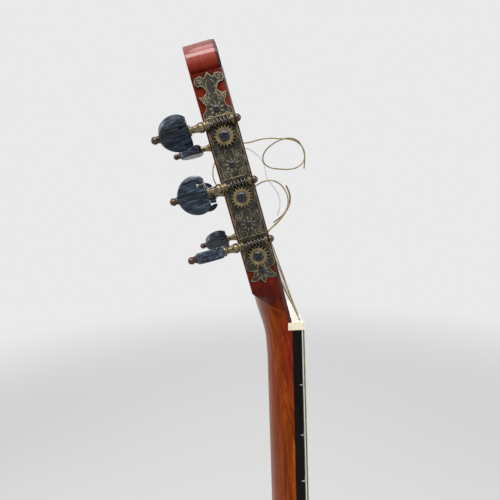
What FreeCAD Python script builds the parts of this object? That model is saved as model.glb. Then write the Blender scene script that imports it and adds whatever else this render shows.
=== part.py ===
import FreeCAD, Part
import math
import os
import Sketcher
from FreeCAD import Placement, Rotation, Vector

# A flamenco guitar standing upright. Z runs up the neck, X points out of the soundboard and Y runs
# from the bass side to the treble side. The origin is on the centre line, in the plane of the
# soundboard's face, where the fingerboard meets the nut. Head pieces are drawn in the head's own
# frame: X out of its face, Y sideways and Z along it, with the origin at the nut.

# Driving dimensions in millimetres and degrees.
SIZES = {
    # Strings and fingerboard
    "scale_length": 650,
    "fret_count": 19,
    "body_fret": 12,
    "nut_width": 52,
    "joint_width": 62,
    "fingerboard_length": 443,
    "fingerboard_height": 6,
    "fret_crown_width": 2.2,
    "fret_crown_height": 0.9,
    "fret_tang_width": 0.6,
    "fret_tang_depth": 2,
    "nut_thickness": 5,
    "nut_height": 9.2,
    "nut_fall": 2,
    "nut_seat_depth": 2.5,
    "nut_string_height": 8.1,
    "nut_string_spread": 43,
    "nut_round": 4,
    "saddle_string_height": 11,
    "saddle_string_spread": 58,
    "saddle_setback": 1.5,
    "saddle_round": 2.5,
    # Neck and heel
    "neck_depth": 14.2,
    "neck_depth_joint": 16.4,
    "neck_tip_rise": 26,
    "neck_run_out": 28,
    "heel_length": 58,
    "heel_cap_width": 25,
    "heel_cap_length": 15,
    "heel_cap_height": 2.5,
    "heel_web": 12,
    "foot_width": 70,
    "foot_thickness": 20,
    # Head
    "head_tilt": 13.6,
    "head_setback": 0.4,
    "head_thickness": 19,
    "head_face_rise": 0.5,
    "head_width": 66,
    "head_length": 186,
    "head_flare_end": 30,
    "head_shoulder_start": 3,
    "head_shoulder_end": 26,
    "crest_rise": 30.3,
    "faceplate_thickness": 2,
    "slot_start": 33,
    "slot_top_wood": 18.7,
    "slot_inner": 8,
    "slot_width": 15.5,
    "slot_ramp": 15,
    "slot_ramp_depth": 7,
    # Tuning machines
    "roller_low_gap": 15.5,
    "roller_top_gap": 18.5,
    "roller_depth": 9,
    "roller_diameter": 10,
    "roller_pivot_diameter": 6,
    "roller_pivot_length": 4,
    "roller_spigot_diameter": 5,
    "roller_hole_diameter": 1.8,
    "running_gap": 0.05,
    "side_gap": 0.3,
    "gear_teeth": 18,
    "gear_pitch": 0.62,
    "gear_thickness": 3.2,
    "gear_backlash": 0.34,
    "gear_hub_diameter": 8,
    "gear_plane": 4.4,
    "gear_screw_diameter": 5.8,
    "gear_screw_height": 1.7,
    "gear_screw_shank": 2.4,
    "gear_screw_length": 7,
    "worm_distance": 7.86,
    "worm_length": 10.6,
    "worm_shaft_diameter": 3,
    "ear_thickness": 1.5,
    "ear_width": 6,
    "ear_front": 1.5,
    "ear_spacing": 14,
    "plate_top_reach": 36.5,
    "plate_low_reach": 17.5,
    "plate_width": 17.4,
    "plate_thickness": 1.2,
    "plate_screw_diameter": 4,
    "plate_screw_height": 1.1,
    "plate_screw_shank": 1.8,
    "plate_screw_length": 7,
    "shaft_ball_diameter": 4.5,
    "shaft_ring_diameter": 5.7,
    "shaft_ring_length": 1.2,
    "baluster_diameter": 6,
    "baluster_waist": 3.4,
    "baluster_length": 7.6,
    "shaft_flange_diameter": 6.2,
    "shaft_flange_length": 1,
    "button_width": 22,
    "button_length": 17,
    "button_flat": 15.5,
    "button_thickness": 6.4,
    "button_edge": 1,
    "keyhole_spacing": 11.8,
    "keyhole_diameter": 1.9,
    "keyhole_depth": 4,
    "keyhole_slit": 0.9,
    # Body
    "body_length": 487,
    "upper_width": 278,
    "upper_radius": 95,
    "upper_place": 100,
    "waist_width": 235,
    "lower_width": 362,
    "lower_radius": 125,
    "lower_place": 135,
    "back_arch_radius": 4000,
    "back_arch_depth": 97,
    "back_arch_place": 285,
    "soundboard_thickness": 2.2,
    "back_thickness": 2.6,
    "side_thickness": 2,
    "binding_depth": 5,
    "lining_width": 6,
    "lining_depth": 14,
    "soundhole_diameter": 85,
    "soundhole_place": 478,
    "rosette_inner": 94,
    "rosette_outer": 126,
    "rosette_depth": 1,
    "tap_plate_thickness": 0.4,
    "tap_plate_width": 176,
    "tap_plate_length": 190,
    "tap_plate_corner": 30,
    "tail_block_width": 70,
    "tail_block_thickness": 18,
    "fan_brace_count": 7,
    "fan_brace_width": 6,
    "fan_brace_height": 5,
    "fan_brace_top": 552,
    "fan_brace_length": 206,
    "fan_top_spread": 20,
    "fan_tail_spread": 36,
    "bar_width": 8,
    "bar_height": 16,
    "bar_above_hole": 412,
    "bar_below_hole": 536,
    "bar_above_length": 250,
    "bar_below_length": 208,
    "bar_end_height": 4,
    "back_bar_height": 14,
    "back_bar_end": 17,
    # Bridge
    "bridge_length": 188,
    "bridge_width": 28,
    "bridge_wing_height": 3,
    "bridge_block_length": 82,
    "bridge_block_height": 8.8,
    "bridge_shelf_height": 6.4,
    "bridge_trench": 2.6,
    "tie_block_width": 13,
    "tie_hole_height": 4.6,
    "saddle_thickness": 2.5,
    "saddle_depth": 4.5,
    "saddle_top_gap": 0.9,
    # String gauges from the first, highest string to the sixth
    "gauge_one": 0.72,
    "gauge_two": 0.82,
    "gauge_three": 1.02,
    "gauge_four": 0.76,
    "gauge_five": 0.9,
    "gauge_six": 1.1,
    "winding_space": 0.55,
    "winding_turns": 3,
    "string_gap": 0.3,
    "overrun": 20,
}

SIDES = {"bass": -1, "treble": 1}
POSTS = ["upper", "middle", "lower"]

# Where each string runs: its gauge, its side of the head, its roller and its place in the slot as
# shares of the slot's width, and the way the winding grows from there.
STRING_SHARES = [
    ("gauge_one", "treble", "lower", 0.8, -1),
    ("gauge_two", "treble", "middle", 0.34, 1),
    ("gauge_three", "treble", "upper", 0.3, 1),
    ("gauge_four", "bass", "upper", 0.3, 1),
    ("gauge_five", "bass", "middle", 0.34, 1),
    ("gauge_six", "bass", "lower", 0.8, -1),
]

doc = FreeCAD.newDocument("flamenco_guitar")
sheet = doc.addObject("Spreadsheet::Sheet", "sizes")
for row, (name, number) in enumerate(SIZES.items(), start=1):
    sheet.set(f"A{row}", name)
    sheet.set(f"B{row}", str(number))
    sheet.setAlias(f"B{row}", name)
doc.recompute()
parts = []


def size(name):
    return float(sheet.get(name))


def keep(thing, label):
    """Count an object as a finished sub-part under its own label."""
    thing.Label = label
    parts.append(thing)
    return thing


def new_body(name):
    return doc.addObject("PartDesign::Body", name)


def plane_of(body, role):
    return next(feature for feature in body.Origin.OriginFeatures if feature.Role == role)


def curves(start, steps):
    """A closed outline: a step is an end point, or an arc's middle point and end point."""
    found = []
    here = Vector(*start, 0)
    for step in steps + [(start,)]:
        end = Vector(*step[-1], 0)
        if here.distanceToPoint(end) < Part.Precision.confusion():
            continue
        if len(step) == 1:
            found.append(Part.LineSegment(here, end))
        else:
            found.append(Part.Arc(here, Vector(*step[0], 0), end))
        here = end
    return found


def polygon(points):
    return curves(points[0], [(point,) for point in points[1:]])


def rectangle(left, right, low, high):
    return polygon([(left, low), (right, low), (right, high), (left, high)])


def flat_sketch(body, role, name, shapes, offset=None):
    """A sketch on one of the body's own origin planes, raised along its normal by an expression."""
    drawn = body.newObject("Sketcher::SketchObject", name)
    drawn.AttachmentSupport = (plane_of(body, role), [""])
    drawn.MapMode = "FlatFace"
    if offset:
        drawn.setExpression("AttachmentOffset.Base.z", offset)
    drawn.addGeometry(shapes)
    return drawn


def circle_sketch(body, role, name, centre, diameter, offset=None):
    """A sketch of one circle whose radius follows a size."""
    round_edge = Part.Circle(Vector(*centre, 0), Vector(0, 0, 1), size(diameter) / 2)
    drawn = flat_sketch(body, role, name, [round_edge], offset)
    drawn.addConstraint(Sketcher.Constraint("Radius", 0, size(diameter) / 2))
    drawn.setExpression("Constraints[0]", f"sizes.{diameter} / 2")
    return drawn


def pad(body, profile, name, length, middle=False, reverse=False):
    made = body.newObject("PartDesign::Pad", name)
    made.Profile = profile
    made.setExpression("Length", length)
    made.Reversed = reverse
    if middle:
        made.SideType = "Symmetric"
    return made


def pocket(body, profile, name, length, middle=False, reverse=False):
    made = body.newObject("PartDesign::Pocket", name)
    made.Profile = profile
    made.setExpression("Length", length)
    made.Reversed = reverse
    if middle:
        made.SideType = "Symmetric"
    return made


def cut(base, tool, name):
    made = doc.addObject("Part::Cut", name)
    made.Base = base
    made.Tool = tool
    return made


def common(base, tool, name):
    made = doc.addObject("Part::Common", name)
    made.Base = base
    made.Tool = tool
    return made


def fuse(things, name):
    made = doc.addObject("Part::MultiFuse", name)
    made.Shapes = things
    return made


def shaped(shape, name, placement=None):
    """A document object that holds a shape made by formula."""
    made = doc.addObject("Part::Feature", name)
    made.Shape = shape
    if placement:
        made.Placement = placement
    return made


def block(name, low, high):
    """A box between two corners."""
    made = doc.addObject("Part::Box", name)
    made.Length = high[0] - low[0]
    made.Width = high[1] - low[1]
    made.Height = high[2] - low[2]
    made.Placement.Base = Vector(*low)
    return made


def fret_place(number):
    """How far below the nut a fret lies."""
    return size("scale_length") * (1 - 2 ** (-number / 12))


def joint_place():
    return fret_place(size("body_fret"))


def board_width(down):
    """The fingerboard's width at a distance below the nut."""
    growth = (size("joint_width") - size("nut_width")) / joint_place()
    return size("nut_width") + growth * down


def head_frame():
    base = Vector(-size("head_setback"), 0, size("nut_thickness"))
    return Placement(base, Rotation(Vector(0, 1, 0), -size("head_tilt")))


def in_head(thing):
    """Move an object drawn in the head's frame onto the head."""
    thing.Placement = head_frame().multiply(thing.Placement)
    return thing


def axis_placement(place, along, across):
    """A placement whose Z runs along one direction and whose X runs across another."""
    side = along.cross(across)
    return Placement(place, Rotation(across, side, along, "ZXY"))


# The tube that strings and windings share.


def section(centre, along, diameter, corners):
    """A regular polygon of the given width, square to a direction."""
    across = Vector(0, 1, 0).cross(along)
    if across.Length < 0.5:
        across = Vector(0, 0, 1).cross(along)
    across.normalize()
    side = along.cross(across).normalize()
    points = []
    for corner in range(corners + 1):
        turn = 2 * math.pi * corner / corners
        offset = across * math.cos(turn) + side * math.sin(turn)
        points.append(centre + offset * (diameter / 2))
    points[-1] = points[0]
    return Part.makePolygon(points)


def swept(path, diameter, corners):
    """A tube along a wire of lines and arcs."""
    first = path.OrderedEdges[0]
    start = first.valueAt(first.FirstParameter)
    along = first.tangentAt(first.FirstParameter)
    shell = Part.BRepOffsetAPI.MakePipeShell(path)
    shell.add(section(start, along, diameter, corners))
    shell.build()
    shell.makeSolid()
    return shell.shape()


def route_wire(points, radii):
    """Straight runs joined by tangent arcs, with one radius for each inner point."""
    edges = []
    here = points[0]
    for index in range(1, len(points) - 1):
        corner = points[index]
        back = (points[index - 1] - corner).normalize()
        ahead = (points[index + 1] - corner).normalize()
        turn = math.pi - back.getAngle(ahead)
        radius = radii[index - 1]
        reach = radius * math.tan(turn / 2)
        inward = (back + ahead).normalize()
        middle = corner + inward * (radius / math.cos(turn / 2) - radius)
        edges.append(Part.LineSegment(here, corner + back * reach).toShape())
        edges.append(Part.Arc(corner + back * reach, middle, corner + ahead * reach).toShape())
        here = corner + ahead * reach
    edges.append(Part.LineSegment(here, points[-1]).toShape())
    return Part.Wire(edges)


def free_radii(points):
    """The largest arcs that the runs of a free cord allow."""
    radii = []
    for index in range(1, len(points) - 1):
        back = points[index - 1] - points[index]
        ahead = points[index + 1] - points[index]
        turn = math.pi - back.getAngle(ahead)
        shorter = min(back.Length, ahead.Length)
        radii.append(ARC_SHARE * shorter / math.tan(turn / 2))
    return radii


ARC_SHARE = 0.45
STRING_CORNERS = 6
WINDING_CORNERS = 4


# The outline of the body, made of five arcs that run into each other on each side.


def outline_arcs(inset):
    """The arcs of the +Y half from the heel to the tail: centre, radius, first and last angle."""
    top = -joint_place()
    tail = top - size("body_length")
    upper_radius = size("upper_radius")
    lower_radius = size("lower_radius")
    upper = Vector(size("upper_width") / 2 - upper_radius, top - size("upper_place"), 0)
    lower = Vector(size("lower_width") / 2 - lower_radius, tail + size("lower_place"), 0)
    drop = size("upper_place")
    top_radius = (upper_radius**2 - upper.x**2 - drop**2) / (2 * (upper_radius - drop))
    rise = size("lower_place")
    tail_radius = (lower_radius**2 - lower.x**2 - rise**2) / (2 * (lower_radius - rise))
    waist, waist_radius = waist_circle(upper, upper_radius, lower, lower_radius)
    shoulder = Vector(0, top - top_radius, 0)
    seat = Vector(0, tail + tail_radius, 0)
    turn_one = direction(upper - shoulder)
    turn_two = direction(waist - upper)
    turn_three = direction(waist - lower)
    turn_four = direction(lower - seat)
    return [
        (shoulder, top_radius - inset, math.pi / 2, turn_one),
        (upper, upper_radius - inset, turn_one, turn_two),
        (waist, waist_radius + inset, turn_two + math.pi, turn_three + math.pi),
        (lower, lower_radius - inset, turn_three, turn_four),
        (seat, tail_radius - inset, turn_four, -math.pi / 2),
    ]


def direction(arrow):
    return math.atan2(arrow.y, arrow.x)


def waist_circle(upper, upper_radius, lower, lower_radius):
    """The circle that touches both bouts from outside and leaves the waist at its width."""
    half = size("waist_width") / 2
    upper_step = 2 * (upper.x + upper_radius - half)
    lower_step = 2 * (lower.x + lower_radius - half)
    fall = upper.y - lower.y
    upper_rest = (half - upper.x) ** 2 - upper_radius**2
    lower_rest = (half - lower.x) ** 2 - lower_radius**2
    square = lower_step - upper_step
    slope = -2 * fall * upper_step
    rest = lower_step * upper_rest - upper_step * (lower_rest + fall**2)
    down = (-slope - math.sqrt(slope**2 - 4 * square * rest)) / (2 * square)
    radius = (upper_rest + down**2) / upper_step
    return Vector(half + radius, upper.y + down, 0), radius


def body_outline(inset):
    """The whole outline, drawn in Y and Z, at a distance inside the real one."""
    steps = []
    for centre, radius, first, last in outline_arcs(inset):
        middle = polar(centre, radius, (first + last) / 2)
        steps.append((middle, polar(centre, radius, last)))
    start = polar(*outline_arcs(inset)[0][:3])
    mirrored = []
    ends = [start] + [step[1] for step in steps]
    for index in range(len(steps) - 1, -1, -1):
        middle = steps[index][0]
        mirrored.append(((-middle[0], middle[1]), (-ends[index][0], ends[index][1])))
    return curves(start, steps + mirrored)


def polar(centre, radius, angle):
    return centre.x + radius * math.cos(angle), centre.y + radius * math.sin(angle)


def prism(name, insets, front, depth):
    """The outline, or a ring between two insets, from an X place backwards. Both are expressions."""
    body = new_body(name)
    shapes = [curve for inset in insets for curve in body_outline(inset)]
    profile = flat_sketch(body, "YZ_Plane", name + "_outline", shapes, front)
    pad(body, profile, name + "_pad", depth, reverse=True)
    return body


def arch(name, shrink):
    """The great ball whose rear surface arches the back, smaller by an expression."""
    ball = doc.addObject("Part::Sphere", name)
    ball.setExpression("Radius", f"sizes.back_arch_radius - {shrink}")
    middle = size("back_arch_radius") - size("back_arch_depth")
    ball.Placement.Base = Vector(middle, 0, -joint_place() - size("back_arch_place"))
    return ball


def back_depth(z):
    """How far behind the soundboard's face the back's outer face lies on the centre line."""
    reach = z + joint_place() + size("back_arch_place")
    radius = size("back_arch_radius")
    return size("back_arch_depth") - radius + math.sqrt(radius**2 - reach**2)


# Soundbox


def soundboard_part():
    body = prism("soundboard_body", [size("side_thickness")], None, "sizes.soundboard_thickness")
    place = (0, -size("soundhole_place"))
    hole = circle_sketch(body, "YZ_Plane", "soundhole_edge", place, "soundhole_diameter")
    pocket(body, hole, "soundhole", "sizes.soundboard_thickness")
    groove = flat_sketch(body, "YZ_Plane", "rosette_edges", rosette_edges(place))
    pocket(body, groove, "rosette_groove", "sizes.rosette_depth")
    return keep(body, "soundboard")


def rosette_edges(place):
    centre = Vector(*place, 0)
    normal = Vector(0, 0, 1)
    outer = Part.Circle(centre, normal, size("rosette_outer") / 2)
    inner = Part.Circle(centre, normal, size("rosette_inner") / 2)
    return [outer, inner]


def rosette_part():
    body = new_body("rosette_body")
    edges = rosette_edges((0, -size("soundhole_place")))
    ring = flat_sketch(body, "YZ_Plane", "rosette_ring", edges)
    pad(body, ring, "rosette_pad", "sizes.rosette_depth", reverse=True)
    return keep(body, "rosette")


def tap_plate_part():
    """The clear plate that takes the taps of the fingers, round the soundhole."""
    body = new_body("tap_plate_body")
    half = size("tap_plate_width") / 2
    corner = size("tap_plate_corner")
    low = -bridge_front() + size("side_gap")
    high = low + size("tap_plate_length")
    round_share = 1 - math.sqrt(0.5)
    bend = corner * round_share
    start = (-half + corner, low)
    steps = [
        ((half - corner, low),),
        ((half - bend, low + bend), (half, low + corner)),
        ((half, high - corner),),
        ((half - bend, high - bend), (half - corner, high)),
        ((-half + corner, high),),
        ((-half + bend, high - bend), (-half, high - corner)),
        ((-half, low + corner),),
        ((-half + bend, low + bend), (-half + corner, low)),
    ]
    sheet_edge = flat_sketch(body, "YZ_Plane", "tap_plate_edge", curves(start, steps))
    pad(body, sheet_edge, "tap_plate_pad", "sizes.tap_plate_thickness")
    place = (0, -size("soundhole_place"))
    hole = circle_sketch(body, "YZ_Plane", "tap_plate_hole", place, "rosette_inner")
    pocket(body, hole, "tap_plate_opening", "sizes.tap_plate_thickness", reverse=True)
    gap = size("side_gap")
    board = size("fingerboard_length") + gap
    wide = board_width(board) / 2 + gap
    corners = rectangle(-wide, wide, -board, high + gap)
    notch = flat_sketch(body, "YZ_Plane", "tap_plate_notch", corners)
    pocket(body, notch, "tap_plate_relief", "sizes.tap_plate_thickness", reverse=True)
    return keep(body, "tap_plate")


def side_parts():
    """The two bent sides, which meet at the tail and end in slots beside the heel's web."""
    ring = prism("side_ring", [0, size("side_thickness")], "-sizes.binding_depth", "sizes.back_arch_depth")
    trimmed = common(ring, arch("arch_under_binding", "sizes.binding_depth"), "side_ring_trimmed")
    for name, side in SIDES.items():
        reach = size("lower_width")
        web = size("heel_web") / 2
        tail = -joint_place() - size("body_length") - size("overrun")
        low = (-size("back_arch_depth") - size("overrun"), min(0, side * reach), tail)
        high = (0, max(0, side * reach), -joint_place() + size("overrun"))
        half = common(trimmed, block(f"{name}_half", low, high), f"{name}_side_ring")
        low = (low[0], -web, -joint_place() - size("foot_thickness"))
        heel_gap = block(f"{name}_heel_gap", low, (0, web, high[2]))
        keep(cut(half, heel_gap, f"{name}_side"), f"side_{name}")


def back_part():
    depth = "sizes.back_arch_depth + sizes.overrun"
    sheet_blank = prism("back_blank", [size("side_thickness")], None, depth)
    outer = common(sheet_blank, arch("arch_outside", "0"), "back_outside")
    return keep(cut(outer, arch("arch_inside", "sizes.back_thickness"), "back_sheet"), "back")


def bindings_part():
    """The strips that finish the edges of the soundboard and of the back."""
    insets = [0, size("side_thickness")]
    front = prism("binding_front", insets, None, "sizes.binding_depth")
    rear = prism("binding_rear", insets, "-sizes.binding_depth", "sizes.back_arch_depth + sizes.overrun")
    rear = common(rear, arch("arch_binding_outside", "0"), "binding_rear_outside")
    rear = cut(rear, arch("arch_binding_inside", "sizes.binding_depth"), "binding_rear_strip")
    return keep(fuse([front, rear], "binding_strips"), "bindings")


def blocks_inside():
    """The foot of the neck and the tail block, before the neck is joined to the foot."""
    top = -joint_place() - size("side_thickness")
    tail = -joint_place() - size("body_length") + size("side_thickness")
    front = -size("soundboard_thickness")
    rear = -size("back_arch_depth") - size("overrun")
    half = size("foot_width") / 2
    over = size("overrun")
    foot = block("foot_blank", (rear, -half, top - size("foot_thickness")), (front, half, top + over))
    half = size("tail_block_width") / 2
    high = (front, half, tail + size("tail_block_thickness"))
    tail_blank = block("tail_blank", (rear, -half, tail - over), high)
    made = []
    for name, blank in (("foot", foot), ("tail", tail_blank)):
        depth = "sizes.back_arch_depth + sizes.overrun"
        room = prism(name + "_room", [size("side_thickness")], None, depth)
        fitted = common(blank, room, name + "_fitted")
        made.append(common(fitted, arch(name + "_arch", "sizes.back_thickness"), name))
    keep(made[1], "tail_block")
    return made


def linings_part(foot, tail_block):
    """The strips that widen the glue joint between the sides and the two boards."""
    insets = [size("side_thickness"), size("side_thickness") + size("lining_width")]
    front = prism("lining_front", insets, "-sizes.soundboard_thickness", "sizes.lining_depth")
    start = "-sizes.soundboard_thickness - sizes.lining_depth"
    rear = prism("lining_rear", insets, start, "sizes.back_arch_depth")
    rear = common(rear, arch("lining_outside", "sizes.back_thickness"), "lining_rear_outside")
    shrink = "sizes.back_thickness - sizes.lining_depth"
    rear = cut(rear, arch("lining_inside", shrink), "lining_rear_strip")
    blocks = fuse([foot, tail_block], "lining_stops")
    return keep(cut(fuse([front, rear], "lining_strips"), blocks, "lining_cut"), "linings")


def bar_shape(length, width, height, end_height):
    """A brace along Y on the plane X = 0, hanging towards -X, with ends that run out low."""
    half = length / 2
    run = min(half / 2, RUN_OUT_SHARE * height)
    points = [
        Vector(0, -half, 0),
        Vector(0, half, 0),
        Vector(-end_height, half, 0),
        Vector(-height, half - run, 0),
        Vector(-height, run - half, 0),
        Vector(-end_height, -half, 0),
        Vector(0, -half, 0),
    ]
    face = Part.Face(Part.makePolygon(points))
    bar = face.extrude(Vector(0, 0, width))
    bar.translate(Vector(0, 0, -width / 2))
    return bar


# How long a brace's sloping end is, as a share of the brace's height.
RUN_OUT_SHARE = 3


def soundboard_braces_part():
    """Seven fan braces under the bridge and a bar above and below the soundhole."""
    under = -size("soundboard_thickness")
    end_height = size("bar_end_height")
    bars = []
    for place, length in (("bar_above_hole", "bar_above_length"), ("bar_below_hole", "bar_below_length")):
        bar = bar_shape(size(length), size("bar_width"), size("bar_height"), end_height)
        bar.translate(Vector(under, 0, -size(place)))
        bars.append(bar)
    count = int(size("fan_brace_count"))
    for index in range(count):
        step = index - (count - 1) / 2
        upper = Vector(0, step * size("fan_top_spread"), -size("fan_brace_top"))
        lower = Vector(0, step * size("fan_tail_spread"), upper.z - size("fan_brace_length"))
        run = upper - lower
        brace = bar_shape(run.Length, size("fan_brace_width"), size("fan_brace_height"), end_height / 2)
        turn = math.degrees(math.atan2(run.z, run.y))
        brace.rotate(Vector(0, 0, 0), Vector(1, 0, 0), turn)
        brace.translate((upper + lower) * 0.5 + Vector(under, 0, 0))
        bars.append(brace)
    return keep(shaped(Part.makeCompound(bars), "front_bars"), "soundboard_braces")


def back_braces_part():
    """Three bars across the back, shaped to its arch."""
    bars = []
    half_width = size("bar_width") / 2
    ball = arch("brace_arch", "sizes.back_thickness")
    doc.recompute()
    for share, length_share in BACK_BAR_SHARES:
        z = -joint_place() - share * size("body_length")
        front = -back_depth(z) + size("back_bar_height")
        half = length_share * size("lower_width") / 2
        rear = -size("back_arch_depth") - size("overrun")
        bar = Part.makeBox(front - rear, 2 * half, 2 * half_width, Vector(rear, -half, z - half_width))
        end = size("back_bar_end")
        for side in (-1, 1):
            tip = side * half
            low = front - size("back_bar_height") + size("bar_end_height")
            wedge = [
                Vector(front, tip - side * end, 0),
                Vector(front + end, tip - side * end, 0),
                Vector(front + end, tip + side * end, 0),
                Vector(low, tip + side * end, 0),
                Vector(low, tip, 0),
                Vector(front, tip - side * end, 0),
            ]
            tool = Part.Face(Part.makePolygon(wedge)).extrude(Vector(0, 0, 4 * half_width))
            tool.translate(Vector(0, 0, z - 2 * half_width))
            bar = bar.cut(tool)
        bars.append(bar.common(ball.Shape))
    doc.removeObject(ball.Name)
    return keep(shaped(Part.makeCompound(bars), "rear_bars"), "back_braces")


BACK_BAR_SHARES = [(0.16, 0.66), (0.42, 0.6), (0.72, 0.9)]


# Neck and head


def half_ellipse(across, outward, middle):
    """A half ellipse between middle + across and middle - across that bulges by outward."""
    unit = Part.Arc(Vector(1, 0, 0), Vector(0, 1, 0), Vector(-1, 0, 0)).toShape()
    square = across.cross(outward).normalize()
    scale = FreeCAD.Matrix()
    for column, axis in enumerate((across, outward, square)):
        scale.A = placed_column(scale, column, axis)
    scale.A = placed_column(scale, 3, middle)
    return unit.transformGeometry(scale)


def placed_column(matrix, column, axis):
    """The matrix's numbers with one column set to an axis."""
    numbers = list(matrix.A)
    numbers[column] = axis.x
    numbers[column + 4] = axis.y
    numbers[column + 8] = axis.z
    return numbers


def neck_section(z, half_width, depth):
    """A closed wire square to Z, flat at X = 0, reaching back by its depth."""
    left = Vector(0, -half_width, z)
    right = Vector(0, half_width, z)
    back = half_ellipse(Vector(0, half_width, 0), Vector(-depth, 0, 0), Vector(0, 0, z))
    return Part.Wire([back, Part.LineSegment(left, right).toShape()])


# The neck's depth where it swells into the head, as shares of the rise above the nut and of the
# neck's own depth, with its width as a share of the nut's width.
SWELL_SHARES = [
    (-1, 1, 1.02),
    (-0.38, 1.08, 1.005),
    (-0.03, 1.225, 1),
    (0.29, 1.4, 1.02),
    (0.62, 1.55, 1.05),
    (1, 1.68, 1.08),
]


def heel_section(x, half_width, length):
    """A closed wire square to X: flat on the body and rounded towards the neck."""
    top = -joint_place()
    low = top - size("foot_thickness") / 2
    front = half_ellipse(Vector(0, half_width, 0), Vector(0, 0, length), Vector(x, 0, top))
    left = Vector(x, -half_width, top)
    right = Vector(x, half_width, top)
    corners = [left, Vector(x, -half_width, low), Vector(x, half_width, low), right]
    sides = [Part.LineSegment(a, b).toShape() for a, b in zip(corners, corners[1:])]
    return Part.Wire([front] + sides)


# The heel's sections as shares of its depth, of the way from the neck's width to the cap's width,
# and of the way from the heel's length to the cap's length.
HEEL_SHARES = [(0, 0, 0), (0.2, 0.24, 0.5), (0.42, 0.5, 0.76), (0.7, 0.8, 0.93), (1, 1, 1)]


def neck_blank(foot):
    """The neck, its heel and the foot inside the body, before the head is set on."""
    rise = size("neck_tip_rise")
    depth = size("neck_depth")
    swell = []
    for along, deep, wide in SWELL_SHARES:
        swell.append(neck_section(along * rise, wide * size("nut_width") / 2, deep * depth))
    upper = Part.makeLoft(swell, True)
    joint = joint_place()
    shaft = [swell[0]]
    for place in (rise + size("neck_run_out"), joint / 2):
        shaft.append(neck_section(-place, board_width(place) / 2, depth))
    end = joint + size("side_thickness")
    shaft.append(neck_section(-end, board_width(end) / 2, size("neck_depth_joint")))
    lower = Part.makeLoft(shaft, True, True)
    heel = heel_loft()
    over = size("overrun")
    web_half = size("heel_web") / 2
    rear = -back_depth(-joint) + size("binding_depth")
    web_low = Vector(rear, -web_half, -joint - size("foot_thickness"))
    web_length = -size("binding_depth") - rear
    web = Part.makeBox(web_length, 2 * web_half, size("foot_thickness") + over / 2, web_low)
    doc.recompute()
    room = prism("heel_stop", [0], None, "sizes.back_arch_depth + sizes.overrun")
    doc.recompute()
    outside = upper.fuse([lower, heel]).cut(room.Shape)
    doc.removeObject(room.Name)
    whole = outside.fuse([web, foot.Shape])
    return shaped(whole.removeSplitter(), "neck_blank")


def heel_loft():
    depth = heel_depth()
    start = size("neck_depth_joint") / 2
    wide = board_width(joint_place()) / 2 - size("side_gap")
    sections = []
    for down, narrow, short in HEEL_SHARES:
        x = -start - down * (depth - start)
        half = wide + narrow * (size("heel_cap_width") / 2 - wide)
        length = size("heel_length") + short * (size("heel_cap_length") - size("heel_length"))
        sections.append(heel_section(x, half, length))
    return Part.makeLoft(sections, True)


def heel_depth():
    """Where the wood of the heel ends and its cap begins."""
    return back_depth(-joint_place()) - size("heel_cap_height")


def heel_cap_part():
    depth = heel_depth()
    half = size("heel_cap_width") / 2
    wire = heel_section(-depth, half, size("heel_cap_length"))
    cap = Part.Face(wire).extrude(Vector(-size("heel_cap_height"), 0, 0))
    room = prism("cap_stop", [0], None, "sizes.back_arch_depth + sizes.overrun")
    doc.recompute()
    cap = cap.cut(room.Shape)
    doc.removeObject(room.Name)
    return keep(shaped(cap, "cap_of_heel"), "heel_cap")


# The crest from the head's straight side to its middle: shares of half the head's width and of the
# crest's rise. A pair is an arc. The flare's own middle point is a share of its way out.
CREST_SHARES = [
    ((0.924, 0),),
    ((1.015, 0.252), (0.768, 0.505)),
    ((0.442, 0.604), (0.384, 0.835)),
    ((0.206, 0.957), (0, 1)),
]
FLARE_SHARE = 0.3


def side_end():
    """Where the head's straight side ends and its crest begins."""
    return size("head_length") - size("crest_rise")


def crest_place(share, side):
    return side * share[0] * size("head_width") / 2, side_end() + share[1] * size("crest_rise")


def there_and_back(table, first, place):
    """The steps along a table of shares on one side, and back along the other."""
    ends = [first] + [step[-1] for step in table]
    steps = [tuple(place(share, 1) for share in step) for step in table]
    for index in range(len(table) - 1, -1, -1):
        step = table[index]
        turned = [ends[index]] if len(step) == 1 else [step[0], ends[index]]
        steps.append(tuple(place(share, -1) for share in turned))
    return steps


def head_outline():
    """The head's edge in its own frame, with a scalloped crest of a general kind."""
    half = size("head_width") / 2
    low = size("nut_width") / 2
    flare = low + FLARE_SHARE * (half - low)
    flare_end = size("head_flare_end")
    steps = [((flare, flare_end / 2), (half, flare_end)), ((half, side_end()),)]
    steps += there_and_back(CREST_SHARES, (1, 0), crest_place)
    steps.append(((-half, flare_end),))
    steps.append(((-flare, flare_end / 2), (-low, 0)))
    return curves((low, 0), steps)


def slot_end():
    """How far up the head the string slots reach."""
    return side_end() - size("slot_top_wood")


def slot_outlines():
    """The two string slots, with round ends, in the head's own frame."""
    found = []
    radius = size("slot_width") / 2
    low = size("slot_start") + radius
    high = slot_end() - radius
    for side in (-1, 1):
        middle = side * (size("slot_inner") + radius)
        steps = [
            ((middle + radius, high),),
            ((middle, high + radius), (middle - radius, high)),
            ((middle - radius, low),),
            ((middle, low - radius), (middle + radius, low)),
        ]
        found += curves((middle + radius, low), steps)
    return found


def slot_cutter():
    body = new_body("slot_cutter")
    profile = flat_sketch(body, "YZ_Plane", "slot_edges", slot_outlines())
    pad(body, profile, "slot_pad", "4 * sizes.head_thickness", middle=True)
    return in_head(body)


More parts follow.
